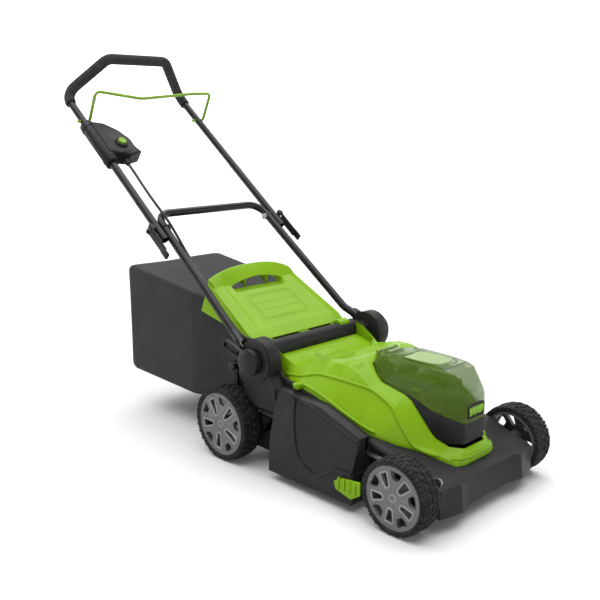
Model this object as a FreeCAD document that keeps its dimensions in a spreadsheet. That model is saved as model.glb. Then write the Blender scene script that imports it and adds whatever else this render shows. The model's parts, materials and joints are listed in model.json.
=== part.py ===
import FreeCAD, Part
import math
import os
import re

# Battery lawn mower, millimetres, +Z up.  Y runs from the front bumper to the
# grip, X across; the operator's right hand is on -X.  Shapes are drawn with
# Y = 0 half way between the axles and Z = 0 on the ground, then shifted by
# origin_shift so that the part's origin is the centre of its footprint.
# Pieces on the handle are drawn in the handle's own frame: Y runs up the legs
# from the clamp bolts and Z stands square to them.

Vector = FreeCAD.Vector

SIZES = {
    # overall
    "wheelbase": 517.0,
    "track_width": 474.0,
    "origin_shift": -307.3,
    # wheels
    "front_wheel_diameter": 157.0,
    "rear_wheel_diameter": 178.0,
    "front_rim_diameter": 131.0,
    "rear_rim_diameter": 149.0,
    "tyre_width": 56.0,
    "tyre_crown": 2.4,
    "hub_boss_radius": 15.0,
    "hub_recess_radius": 13.0,
    "hub_turn": 44.0,
    # axles and height adjustment
    "axle_diameter": 12.0,
    "running_clearance": 0.05,
    "arm_length": 42.0,
    "arm_rise_angle": 27.0,
    "arm_thickness": 4.0,
    "crank_length": 62.0,
    "crank_angle": 117.0,
    "link_thickness": 3.0,
    "lever_length": 160.0,
    "lever_angle": 81.0,
    "nut_radius": 9.0,
    # deck
    "deck_wall": 4.0,
    "skirt_recess": 2.2,
    "deck_half_width": 170.0,
    "skirt_half_width": 225.0,
    "skirt_ground_gap": 20.0,
    "core_ground_gap": 34.0,
    "bumper_reach": 81.0,
    "chamber_radius": 209.0,
    "chamber_roof": 104.0,
    "bay_half_width": 98.0,
    "chute_half_width": 130.0,
    "mower_centre": -5.0,
    # cutting gear
    "cut_diameter": 410.0,
    "blade_height": 44.0,
    "blade_width": 46.0,
    "blade_thickness": 3.2,
    "shaft_diameter": 17.0,
    "motor_radius": 47.0,
    "motor_height": 84.0,
    # covers
    "cover_wall": 3.0,
    "lid_wall": 2.5,
    "tray_wall": 3.0,
    "tray_floor": 139.0,
    "fit_gap": 0.4,
    "seat_gap": 0.3,
    "battery_width": 62.0,
    "battery_length": 112.0,
    "battery_height": 78.0,
    # rear bridge and flap
    "pivot_ahead": 94.5,
    "pivot_height": 258.0,
    "tower_inner": 152.0,
    "tower_step": 171.5,
    "tower_outer": 205.0,
    "chute_reach": 43.5,
    "flap_half_width": 161.5,
    "tower_radius": 50.0,
    "bridge_top": 284.0,
    "bridge_depth": 26.0,
    "bridge_height": 28.0,
    "flap_wall": 3.5,
    "flap_rod_diameter": 6.0,
    # handle
    "handle_angle": 38.3,
    "clamp_behind": 274.0,
    "clamp_height": 522.0,
    "tube_diameter": 20.0,
    "tube_wall": 1.5,
    "upper_half_width": 199.0,
    "leg_gap": 4.0,
    "pivot_half_width": 213.0,
    "upper_tail": 42.0,
    "hoop_reach": 49.0,
    "grip_reach": 534.0,
    "grip_rise": 119.0,
    "grip_half_width": 97.0,
    "foam_start": 495.0,
    "foam_diameter": 29.0,
    "clamp_bolt_diameter": 6.0,
    "pivot_bolt_diameter": 8.0,
    "spare_hole_diameter": 6.6,
    "spare_hole_reach": 90.0,
    "bail_reach": 420.0,
    "bail_rod_diameter": 6.0,
    "cable_diameter": 7.0,
    # switch box
    "box_start": 246.0,
    "box_length": 154.0,
    "box_shell_radius": 19.0,
    "box_half_height": 21.0,
    "box_inner_edge": 108.0,
    "button_travel": 4.0,
    # grass bag
    "bag_length": 436.0,
    "bag_half_width": 158.0,
}

doc = FreeCAD.newDocument("mower")
sheet = doc.addObject("Spreadsheet::Sheet", "Dims")
for row, (alias, value) in enumerate(SIZES.items(), start=1):
    sheet.set(f"A{row}", alias)
    sheet.set(f"B{row}", str(value))
    sheet.setAlias(f"B{row}", alias)
doc.recompute()


class Sheet:
    """Gives each size of the spreadsheet by its alias, as a plain number."""

    def __getattr__(self, alias):
        return float(sheet.get(alias))


d = Sheet()
nodes = []


def bound(expression):
    """The expression with every alias pointed at the spreadsheet."""
    return re.sub(r"[a-z]+(?:_[a-z]+)+|wheelbase",
                  lambda match: "Dims." + match.group(0), str(expression))


def bind(piece, expressions):
    for name, expression in expressions.items():
        piece.setExpression(name, bound(expression))


def box(name, x, y, z):
    """Block between two expressions on each axis."""
    piece = doc.addObject("Part::Box", name)
    bind(piece, {"Length": f"({x[1]}) - ({x[0]})", "Width": f"({y[1]}) - ({y[0]})",
                 "Height": f"({z[1]}) - ({z[0]})", "Placement.Base.x": x[0],
                 "Placement.Base.y": y[0], "Placement.Base.z": z[0]})
    return piece


def cylinder(name, axis, centre, radius, span):
    """Round bar along an axis: centre holds the other two coordinates."""
    piece = doc.addObject("Part::Cylinder", name)
    start = {"x": (span[0], centre[0], centre[1]), "y": (centre[0], span[0], centre[1]),
             "z": (centre[0], centre[1], span[0])}[axis]
    turn = {"x": (Vector(0, 1, 0), 90), "y": (Vector(1, 0, 0), -90), "z": (Vector(0, 0, 1), 0)}
    piece.Placement = FreeCAD.Placement(Vector(), FreeCAD.Rotation(*turn[axis]))
    bind(piece, {"Radius": radius, "Height": f"({span[1]}) - ({span[0]})",
                 "Placement.Base.x": start[0], "Placement.Base.y": start[1],
                 "Placement.Base.z": start[2]})
    return piece


def shaped(name, shape):
    """Piece whose form comes from Part's own functions."""
    piece = doc.addObject("Part::Feature", name)
    piece.Shape = shape
    return piece


def cut(name, base, tool):
    piece = doc.addObject("Part::Cut", name)
    piece.Base = base
    piece.Tool = tool
    return piece


def fused(name, pieces):
    piece = doc.addObject("Part::MultiFuse", name)
    piece.Shapes = pieces
    piece.Refine = True
    return piece


def node(label, pieces, frame="mower"):
    """Sub-part of the assembly, placed in the mower's or the handle's frame."""
    group = doc.addObject("Part::Compound", label + "_node")
    group.Links = pieces
    group.Label = label
    if frame == "handle":
        group.Placement = FreeCAD.Placement(Vector(), FreeCAD.Rotation(Vector(1, 0, 0), 10))
        bind(group, {"Placement.Rotation.Angle": "handle_angle",
                     "Placement.Base.y": "wheelbase / 2 + clamp_behind + origin_shift",
                     "Placement.Base.z": "clamp_height"})
    else:
        bind(group, {"Placement.Base.y": "origin_shift"})
    nodes.append(group)
    return group


def polygon(points):
    return Part.makePolygon([*points, points[0]])


def prism(points, direction):
    return Part.Face(polygon(points)).extrude(direction)


def mirrored(shape):
    return shape.mirror(Vector(), Vector(1, 0, 0))


def both_sides(shape):
    return [shape, mirrored(shape)]


def side_plate(outline, low, high):
    """Plate across X between low and high, from an outline of (y, z) points."""
    return prism([Vector(low, y, z) for y, z in outline], Vector(high - low, 0, 0))


def ring_loft(stations):
    """Solid through closed sections; each is (y, [(x, z), ...]) on one half."""
    wires = []
    for y, half in stations:
        points = [Vector(x, y, z) for x, z in half]
        points += [Vector(-x, y, z) for x, z in reversed(half) if x > 0]
        wires.append(polygon(points))
    return Part.makeLoft(wires, True, True)


def bent_path(points, radii):
    """Straight runs joined by tangent arcs, one bend radius for each corner."""
    edges = []
    start = points[0]
    for before, corner, after, radius in zip(points, points[1:], points[2:], radii):
        into = (corner - before).normalize()
        away = (after - corner).normalize()
        half_turn = into.getAngle(away) / 2
        reach = radius * math.tan(half_turn)
        inward = (away - into).normalize()
        middle = corner + inward * (radius / math.cos(half_turn) - radius)
        arc_end = corner + away * reach
        edges.append(Part.LineSegment(start, corner - into * reach))
        edges.append(Part.Arc(corner - into * reach, middle, arc_end))
        start = arc_end
    edges.append(Part.LineSegment(start, points[-1]))
    return Part.Wire([edge.toShape() for edge in edges])


def rod(path, radius):
    """Round section swept along a path."""
    first = path.Edges[0]
    circle = Part.makeCircle(radius, first.valueAt(first.FirstParameter),
                             first.tangentAt(first.FirstParameter))
    return path.makePipeShell([Part.Wire(circle)], True, False)


def cord_path(points):
    """Path of a cord: each arc is as large as its two runs allow."""
    radii = []
    for before, corner, after in zip(points, points[1:], points[2:]):
        run = min(corner.distanceToPoint(before), after.distanceToPoint(corner))
        turn = (corner - before).getAngle(after - corner)
        radii.append(0.45 * run / math.tan(turn / 2))
    return bent_path(points, radii)


FRONT_Y = -d.wheelbase / 2
REAR_Y = d.wheelbase / 2
PIVOT_Y = REAR_Y - d.pivot_ahead
ARM_Y = d.arm_length * math.cos(math.radians(d.arm_rise_angle))
ARM_Z = d.arm_length * math.sin(math.radians(d.arm_rise_angle))
AXLE_R = d.axle_diameter / 2
TUBE_R = d.tube_diameter / 2
LOWER_HALF = d.upper_half_width - d.tube_diameter - d.leg_gap
DECK_TOP = 212.0


def along(y):
    """Place along the mower of an outline drawn for a 517 mm wheelbase.

    Both ends keep their distance from the axles and the middle stretches.
    """
    growth = (d.wheelbase - 517.0) / 2
    return y + growth * max(-1.0, min(1.0, y / 50.0))


def between(table, place, column=1):
    """Value of a column of a table at a place, straight between its rows."""
    for first, last in zip(table, table[1:]):
        if first[0] <= place <= last[0]:
            share = (place - first[0]) / (last[0] - first[0])
            return first[column] + share * (last[column] - first[column])
    raise ValueError(f"{place} is outside the table")


# ---------------------------------------------------------------- wheels

def tyre(name, wheel_radius, rim_radius, centre_y):
    """Tyre with a crowned tread and square shoulders, on the +X side."""
    half = d.tyre_width / 2
    outline = [(rim_radius, -half + 3), (rim_radius + 3, -half), (wheel_radius - 7, -half),
               (wheel_radius - d.tyre_crown, -half + 6), (wheel_radius, -half + 16),
               (wheel_radius, half - 16), (wheel_radius - d.tyre_crown, half - 6),
               (wheel_radius - 7, half), (rim_radius + 3, half), (rim_radius, half - 3)]
    middle = d.track_width / 2 - half
    points = [Vector(middle + across, centre_y, wheel_radius + radius) for radius, across in outline]
    face = Part.Face(polygon(points))
    return face.revolve(Vector(0, centre_y, wheel_radius), Vector(1, 0, 0), 360)


def hub(wheel_radius, rim_radius, centre_y):
    """Moulded hub: rim ring, dished web with ten windows, bored boss, on +X."""
    outer = d.track_width / 2
    inner = outer - d.tyre_width
    axis = Vector(1, 0, 0)
    centre = Vector(0, centre_y, wheel_radius)

    def disc(radius, low, high):
        return Part.makeCylinder(radius, high - low, centre + Vector(low, 0, 0), axis)

    seat = rim_radius - d.fit_gap / 4
    solid = disc(seat, inner + 3, outer - 3).cut(disc(seat - 6, inner, outer - 12))
    solid = solid.fuse(disc(d.hub_boss_radius, inner + 8, outer - 6))
    web = [(0, outer - 5), (22, outer - 2), (seat - 8, outer - 4), (seat - 6, outer - 12), (0, outer - 12)]
    face = Part.Face(polygon([centre + Vector(x, 0, radius) for radius, x in web]))
    solid = solid.fuse(face.revolve(centre, axis, 360))
    solid = solid.cut(disc(d.hub_recess_radius, outer - 10, outer + 1))
    solid = solid.cut(disc(AXLE_R + d.running_clearance, inner, outer))
    far = seat - 14
    narrow = 9.0 * 24.0 / far
    framed = [(-narrow, 24.0), (narrow, 24.0), (9.0, far), (-9.0, far)]
    rim = seat - 9
    open_ended = [(-6.5, rim - 17), (6.5, rim - 17), (12.0, rim - 8), (13.0, rim), (-13.0, rim), (-12.0, rim - 8)]
    for step in range(10):
        outline = open_ended if step % 2 else framed
        window = prism([centre + Vector(inner, y, z) for y, z in outline], Vector(d.tyre_width + 2, 0, 0))
        window.rotate(centre, axis, d.hub_turn + 36.0 * step)
        solid = solid.cut(window)
    return solid.removeSplitter()


def wheels():
    for place, centre_y, wheel_alias, rim_alias in (
            ("front", FRONT_Y, "front_wheel_diameter", "front_rim_diameter"),
            ("rear", REAR_Y, "rear_wheel_diameter", "rear_rim_diameter")):
        wheel_radius = getattr(d, wheel_alias) / 2
        rim_radius = getattr(d, rim_alias) / 2
        rubber = tyre(place, wheel_radius, rim_radius, centre_y)
        moulding = hub(wheel_radius, rim_radius, centre_y)
        for side, flip in (("left", False), ("right", True)):
            for kind, shape in (("tyre", rubber), ("hub", moulding)):
                label = f"{kind}_{place}_{side}"
                node(label, [shaped(label + "_form", mirrored(shape) if flip else shape)])


# ------------------------------------------------ axles, height adjustment

def link_arm(start, end, radius, low, high):
    """Flat arm with round ends across X, between two (y, z) points."""
    span = Vector(0, end[0] - start[0], end[1] - start[1])
    square = Vector(0, -span.z, span.y).normalize() * radius
    first = Vector(low, *start)
    last = Vector(low, *end)
    width = Vector(high - low, 0, 0)
    arm = prism([first + square, last + square, last - square, first - square], width)
    for centre in (first, last):
        arm = arm.fuse(Part.makeCylinder(radius, high - low, centre, Vector(1, 0, 0)))
    return arm


ARM_IN = d.deck_half_width + 4.2
ARM_OUT = ARM_IN + d.arm_thickness
STUB_END = d.track_width / 2 - 6.0
CRANK = (d.crank_length * math.cos(math.radians(d.crank_angle)),
         d.crank_length * math.sin(math.radians(d.crank_angle)))


def axle_shape(centre_y, wheel_radius):
    """Cross rod with trailing arms and wheel stubs; returns it and its pivot."""
    pivot = (centre_y - ARM_Y, wheel_radius - ARM_Z)
    axis = Vector(1, 0, 0)
    solid = Part.makeCylinder(AXLE_R, 2 * ARM_OUT, Vector(-ARM_OUT, *pivot), axis)
    arm = link_arm(pivot, (centre_y, wheel_radius), 10.0, ARM_IN, ARM_OUT)
    stub = Part.makeCylinder(AXLE_R, STUB_END - ARM_IN, Vector(ARM_IN, centre_y, wheel_radius), axis)
    collar_end = d.track_width / 2 - d.tyre_width + 8 - d.fit_gap
    collar = Part.makeCylinder(10.0, collar_end - ARM_OUT, Vector(ARM_OUT, centre_y, wheel_radius), axis)
    for piece in both_sides(arm.fuse(stub).fuse(collar)):
        solid = solid.fuse(piece)
    return solid, pivot


def crank_pin(pivot):
    return (pivot[0] + CRANK[0], pivot[1] + CRANK[1])


def with_crank(solid, pivot):
    """Adds the crank arm and its link pin on the right-hand side (-X)."""
    pin = crank_pin(pivot)
    crank = link_arm(pivot, pin, 8.0, -ARM_OUT, -ARM_IN)
    stud = Part.makeCylinder(3.0, ARM_IN - d.deck_half_width - 0.6,
                             Vector(-ARM_IN, *pin), Vector(1, 0, 0))
    return solid.fuse(crank).fuse(stud)


def axles():
    front, front_pivot = axle_shape(FRONT_Y, d.front_wheel_diameter / 2)
    rear, rear_pivot = axle_shape(REAR_Y, d.rear_wheel_diameter / 2)
    angle = math.radians(d.lever_angle)
    lever_axis = [(rear_pivot[0] + reach * math.cos(angle), rear_pivot[1] + reach * math.sin(angle))
                  for reach in (34.0, 54.0, d.lever_length)]
    strap = link_arm(rear_pivot, lever_axis[1], 8.0, -ARM_OUT, -ARM_IN)
    front = with_crank(front, front_pivot)
    rear = with_crank(rear, rear_pivot).fuse(strap)
    node("front_axle", [shaped("front_axle_form", front.removeSplitter())])
    node("rear_axle", [shaped("rear_axle_form", rear.removeSplitter())])

    first, last = crank_pin(front_pivot), crank_pin(rear_pivot)
    low = -(ARM_IN - 0.2)
    link = link_arm(first, last, 4.0, low, low + d.link_thickness)
    for eye in (first, last):
        link = link.fuse(Part.makeCylinder(6.0, d.link_thickness, Vector(low, *eye), Vector(1, 0, 0)))
    for eye in (first, last):
        bore = Part.makeCylinder(3.0 + d.running_clearance, 20.0, Vector(low - 5, *eye), Vector(1, 0, 0))
        link = link.cut(bore)
    node("height_link", [shaped("height_link_form", link.removeSplitter())])

    outside = ARM_OUT + 0.2
    foot, _, tip = lever_axis
    lever = link_arm(foot, tip, 7.0, -outside - 2.4, -outside)
    knob = Part.makeCylinder(10.0, 30.0, Vector(-outside - 30.0, *tip), Vector(1, 0, 0))
    lever = lever.fuse(knob.makeFillet(3.0, knob.Edges))
    node("height_lever", [shaped("height_lever_form", lever.removeSplitter())])

    for place, centre_y, wheel_radius in (("front", FRONT_Y, d.front_wheel_diameter / 2),
                                          ("rear", REAR_Y, d.rear_wheel_diameter / 2)):
        washer = Part.makeCylinder(d.nut_radius + 2, 1.5,
                                   Vector(d.track_width / 2 - 9.7, centre_y, wheel_radius), Vector(1, 0, 0))
        nut = Part.makeCylinder(d.nut_radius, 5.0,
                                Vector(d.track_width / 2 - 8.2, centre_y, wheel_radius), Vector(1, 0, 0))
        bore = Part.makeCylinder(AXLE_R, 40.0, Vector(d.track_width / 2 - 20, centre_y, wheel_radius),
                                 Vector(1, 0, 0))
        pieces = both_sides(washer.fuse(nut).cut(bore))
        label = f"{place}_axle_nuts"
        node(label, [shaped(f"{label}_{side}", piece) for side, piece in zip(("left", "right"), pieces)])
    return front_pivot, rear_pivot


# ------------------------------------------------------------------ deck

# stations along the mower: y, and the height of the deck's top under the cover
SEAM = [(-326, 90), (-297, 100), (-290, 101.5), (-262, 111), (-240, 120.5), (-214, 129), (-185, 135),
        (-165, 141), (-125, 149), (-100, 153), (-65, 174), (-36, 185), (10, 203), (60, DECK_TOP),
        (238, DECK_TOP)]
# the skirts' shoulder: y, height
SHOULDER = [(-145, 158), (-31, 197), (68, 206), (101, 206)]


def inset_place(table, y, inset):
    """Place of a station, moved inward at the two ends of its table."""
    if y == table[0][0]:
        return along(y) + inset
    if y == table[-1][0]:
        return along(y) - inset
    return along(y)


def deck_core(inset):
    """Main hull between the wheels; with an inset it is the hollow inside."""
    stations = []
    wide = d.deck_half_width - inset
    floor = d.core_ground_gap - (10 if inset else 0)
    for y, seam in SEAM:
        top = seam - inset
        stations.append((inset_place(SEAM, y, inset), [(wide, floor), (wide, top - 5), (wide - 3, top)]))
    return ring_loft(stations)


def bumper(inset):
    """Front bumper: centre panel set back between two stepped corners."""
    front = FRONT_Y - d.bumper_reach
    low = d.core_ground_gap - (10 if inset else 0)
    wide = d.deck_half_width - 4 - inset
    wires = []
    for z, lean in ((low, 0.0), (91.0 - inset, 6.0)):
        outline = [(wide, front + 12), (111 - inset / 2, front), (70 - inset / 2, front + 11)]
        points = [Vector(x, y + lean + inset, z) for x, y in outline]
        points += [Vector(-p.x, p.y, z) for p in reversed(points)]
        back = front + 40
        wires.append(polygon([Vector(wide, back, z), *points, Vector(-wide, back, z)]))
    return Part.makeLoft(wires, True, True)


def skirts(inset):
    """Deep side walls between the wheels; with an inset they are the hollow inside."""
    inner = d.deck_half_width - (12 if inset else 0)
    low = d.skirt_ground_gap - (10 if inset else 0)
    outside = d.skirt_half_width - inset
    wires = []
    for y, top in SHOULDER:
        place = inset_place(SHOULDER, y, inset)
        half = [(inner, low), (outside, low), (outside - 3, 90), (198 - inset, top - inset), (inner, top - inset)]
        wires.append(polygon([Vector(x, place, z) for x, z in half]))
    block = Part.makeLoft(wires, True, True)
    return block.fuse(mirrored(block))


CHUTE_END = REAR_Y + d.chute_reach


def chute(grow, overrun):
    """Grass chute from the cutting chamber to the rear mouth, grown on every side."""
    end = CHUTE_END + overrun
    outline = [(along(95), 60 - grow), (along(150), 62 - grow), (along(202), 86 - grow), (end, 132 - grow),
               (end, 258 + grow), (along(170), 212 + grow), (along(62), d.chamber_roof + grow),
               (along(95), d.chamber_roof - 2)]
    wide = d.chute_half_width + grow
    return side_plate(outline, -wide, wide)


def deck(front_pivot, rear_pivot):
    wall = d.deck_wall
    up = Vector(0, 0, 1)
    centre = Vector(0, d.mower_centre, 0)
    inside = deck_core(wall).fuse(skirts(wall)).fuse(bumper(wall))
    shell = deck_core(0).fuse(skirts(0)).fuse(bumper(0)).cut(inside)
    roof = Part.makeBox(1000, 2000, wall, Vector(-500, -1000, d.chamber_roof)).common(inside)
    ring = Part.makeCylinder(d.chamber_radius + wall, d.chamber_roof + 1 - d.core_ground_gap,
                             centre + up * d.core_ground_gap, up)
    shell = shell.fuse(roof).fuse(ring).fuse(chute(wall, 0)).cut(chute(0, 5))
    shell = shell.cut(Part.makeCylinder(d.chamber_radius, d.chamber_roof, centre, up))
    bay = Part.makeBox(2 * d.bay_half_width, along(90) - along(-212), 200,
                       Vector(-d.bay_half_width, along(-212), d.chamber_roof + wall))
    motor_hole = Part.makeCylinder(24.0, 60, centre + up * (d.chamber_roof - 30), up)
    slot = Part.makeBox(8, along(145) - along(-165), 44, Vector(-ARM_OUT - 0.8, along(-165), d.chamber_roof + 4.5))
    for tool in (bay, motor_hole, slot):
        shell = shell.cut(tool)
    for pivot in (front_pivot, rear_pivot):
        shell = shell.cut(Part.makeCylinder(AXLE_R + d.running_clearance, 600,
                                            Vector(-300, *pivot), Vector(1, 0, 0)))
    recess = [(42, 230), (42, 170), (19, 90), (4, 66), (-41, 48), (-96, 84), (-150, 84), (-150, 230)]
    recess = side_plate([(along(y), z) for y, z in recess], d.deck_half_width + 1, 300)
    skin = skirts(0).cut(skirts(d.skirt_recess))
    for side in both_sides(recess):
        shell = shell.cut(side.common(skin))
    shell = shell.removeSplitter()
    # the hull and the two side skirts meet face to face, so each keeps a simple form
    hull = Part.makeBox(2 * d.deck_half_width, 2000, 600, Vector(-d.deck_half_width, -1000, -100))
    blocks = [shaped(f"deck_{part}", shell.common(hull.translated(Vector(place * 2 * d.deck_half_width, 0, 0))))
              for part, place in (("hull", 0), ("skirt_left", 1), ("skirt_right", -1))]
    node("deck_shell", blocks)


# ---------------------------------------------------------------- covers

# y, flange half width, shoulder half width and height, inner edge half width
# and height, height on the centre line
COVER = [
    (-297, 46, 43, 110, 36, 112, 113), (-290, 68, 63, 112, 37, 131, 131),
    (-262, 84, 77, 121, 56, 133, 133), (-240, 98, 90, 131, 74, 148, 148),
    (-214, 112, 106, 139, 84, 182, 182), (-185, 130, 111, 184, 84, 219, 219),
    (-165, 140, 112, 209, 84, 229, 229), (-125, 155, 113, 226, 86, 238, 238),
    (-100, 161, 114, 234, 86, 243, 243), (-65, 168, 114, 259, 82, 266, 268),
    (-36, 169, 115, 272, 66, 279, 281), (10, 169, 119, 272, 70, 270, 268),
    (60, 168, 132, 256, 96, 245, 243), (97, 164, 142, 247, 118, 236, 236),
    (123, 150.5, 148.5, 262, 144.5, 241, 241), (151, 150.5, 148.5, 279, 144.5, 250, 250),
    (174, 150.5, 148.5, 285, 144.5, 255, 255)]

# y, half width, height of the rim between tray and lid, then the lid's
# shoulder half width and height, crown half width and height
LID = [(-286, 35, 182, 34, 226, 32, 238), (-278, 43, 187, 38, 238, 34, 251), (-250, 62, 198, 55, 250, 43, 283),
       (-232, 74, 206, 66, 256, 48, 287), (-190, 81, 226, 73, 262, 53, 289), (-110, 81, 243, 74, 268, 56, 290),
       (-80, 74, 252, 68, 270, 52, 289), (-57, 60, 262, 56, 272, 44, 284)]
LID_HINGE = (along(-50), 287.0)
CABLE_END = (174.0, 64.0)
CABLE_X = -150.0


def cover_solid(inset):
    """Faceted bonnet over the motor, shrunk by inset everywhere but below."""
    stations = []
    for y, flange, shoulder, ridge, edge, brow, crown in COVER:
        place = along(y)
        if y > 90:
            place = PIVOT_Y + y - 164.0
        if y == COVER[0][0]:
            place += inset
        if y == COVER[-1][0]:
            place += 1.0 if inset else -d.seat_gap
        seat = between(SEAM, y)
        base = seat + (-8.0 if inset else d.fit_gap)
        stations.append((place, [(flange - inset, base), (flange - inset - 1.5, seat + 8 - inset * 0.4),
                                 (shoulder - inset * 0.8, ridge - inset), (edge, brow - inset),
                                 (edge * 0.5, (brow + crown) / 2 - inset)]))
    return ring_loft(stations)


def brow_height(place):
    """Height of the bonnet's inner edge at a place along the mower."""
    return between([(along(row[0]), row[5]) for row in COVER if row[0] < 90], place)


def compartment(grow, low, lift):
    """Plan of the battery compartment from a floor height up to the lid's rim."""
    wires = []
    for y, half, rim, *_ in LID:
        place = inset_place(LID, y, -grow)
        wide = half + grow
        wires.append(polygon([Vector(-wide, place, low), Vector(wide, place, low),
                              Vector(wide, place, rim + lift), Vector(-wide, place, rim + lift)]))
    return Part.makeLoft(wires, True, True)


def lid_solid(inset):
    stations = []
    for y, half, rim, shoulder, brow, crown, top in LID:
        base = rim + (-8.0 if inset else d.fit_gap)
        stations.append((inset_place(LID, y, inset),
                         [(half - inset, base), (shoulder - inset, brow - inset * 0.5),
                          (crown - inset * 0.6, top - inset)]))
    return ring_loft(stations)


def covers():
    pin_r, eye_r = 2.5, 5.0
    hinge_y, hinge_z = LID_HINGE
    across = Vector(1, 0, 0)
    bonnet = cover_solid(0).cut(cover_solid(d.cover_wall))
    bonnet = bonnet.cut(compartment(d.fit_gap, d.tray_floor - 30, 30))
    chin = Part.makeBox(92, 14, 6, Vector(-46, FRONT_Y - 36, 104))
    bonnet = bonnet.fuse(chin.common(cover_solid(0))).removeSplitter()
    bonnet = max(bonnet.Solids, key=lambda solid: solid.Volume)
    ear = side_plate([(y, brow_height(y) - 0.5 * d.cover_wall) for y in (hinge_y - 5.5, hinge_y + 7.5)]
                     + [(hinge_y + eye_r, hinge_z + eye_r), (hinge_y - 3, hinge_z + eye_r)], 28.0, 33.0)
    stop_y = along(CABLE_END[1])
    cable_stop = Part.makeBox(20, 14, 11, Vector(-CABLE_END[0] - 10, stop_y - 14 - d.fit_gap, DECK_TOP + 0.6))
    for piece in (*both_sides(ear), cable_stop):
        bonnet = bonnet.fuse(piece)
    bonnet = bonnet.cut(Part.makeCylinder(pin_r, 300, Vector(-150, *LID_HINGE), across))
    node("motor_cover", [shaped("motor_cover_form", bonnet)])

    tub = compartment(0, d.tray_floor, 0)
    hollow = compartment(-d.tray_wall, d.tray_floor + d.tray_wall, 5)
    node("battery_tray", [shaped("battery_tray_form", tub.cut(hollow))])

    lid = lid_solid(0).cut(lid_solid(d.lid_wall))
    lid = lid.fuse(Part.makeBox(76, 104, 3.0, Vector(-38, along(-232), 288.0)))
    strap = side_plate([(hinge_y - 18, 283.5), (hinge_y, hinge_z - 4), (hinge_y, hinge_z + 4),
                        (hinge_y - 18, 288.5)], -27, 27)
    lid = lid.fuse(strap).fuse(Part.makeCylinder(eye_r, 54, Vector(-27, *LID_HINGE), across))
    lid = lid.cut(Part.makeCylinder(pin_r + d.running_clearance, 300, Vector(-150, *LID_HINGE), across))
    vent = Part.makeBox(36, 10, 3.2, Vector(-18, along(-291), 195))
    for rise in range(3):
        lid = lid.cut(vent.translated(Vector(0, 0, rise * 6.0)))
    node("battery_lid", [shaped("battery_lid_form", lid.removeSplitter())])
    pin = Part.makeCylinder(pin_r, 70, Vector(-35, *LID_HINGE), across)
    node("lid_hinge_pin", [shaped("lid_hinge_pin_form", pin)])


def batteries():
    """Two packs side by side on a terminal block at the tray's floor."""
    start = "-wheelbase / 2 + 48"
    floor = "tray_floor + tray_wall"
    block = box("terminal_block_body", ("-battery_width", "battery_width"), (f"{start} + 20", f"{start} + 92"),
                (floor, f"{floor} + 14"))
    rails = [box(f"terminal_rail_{i}", (f"{x} - 1.5", f"{x} + 1.5"), (f"{start} + 30", f"{start} + 80"),
                 (f"{floor} + 13", f"{floor} + 20")) for i, x in enumerate((-48, -24, 24, 48))]
    node("terminal_block", [fused("terminal_block_form", [block, *rails])])
    for label, low, high in (("battery_right", "-battery_width - 1.5", "-1.5"),
                             ("battery_left", "1.5", "battery_width + 1.5")):
        shell = box(label + "_case", (low, high), (start, f"{start} + battery_length"),
                    (f"{floor} + 20 + seat_gap", f"{floor} + 20 + seat_gap + battery_height"))
        rounded = doc.addObject("Part::Fillet", label + "_rounded")
        rounded.Base = shell
        rounded.Edges = [(edge, 5.0, 5.0) for edge in (1, 3, 5, 7)]
        grip = box(label + "_grip", (f"{low} + 14", f"{high} - 14"), (f"{start} + 30", f"{start} + 82"),
                   (f"{floor} + 19 + battery_height", f"{floor} + 26 + battery_height"))
        node(label, [fused(label + "_form", [rounded, grip])])


# ---------------------------------------------------------- cutting gear

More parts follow.
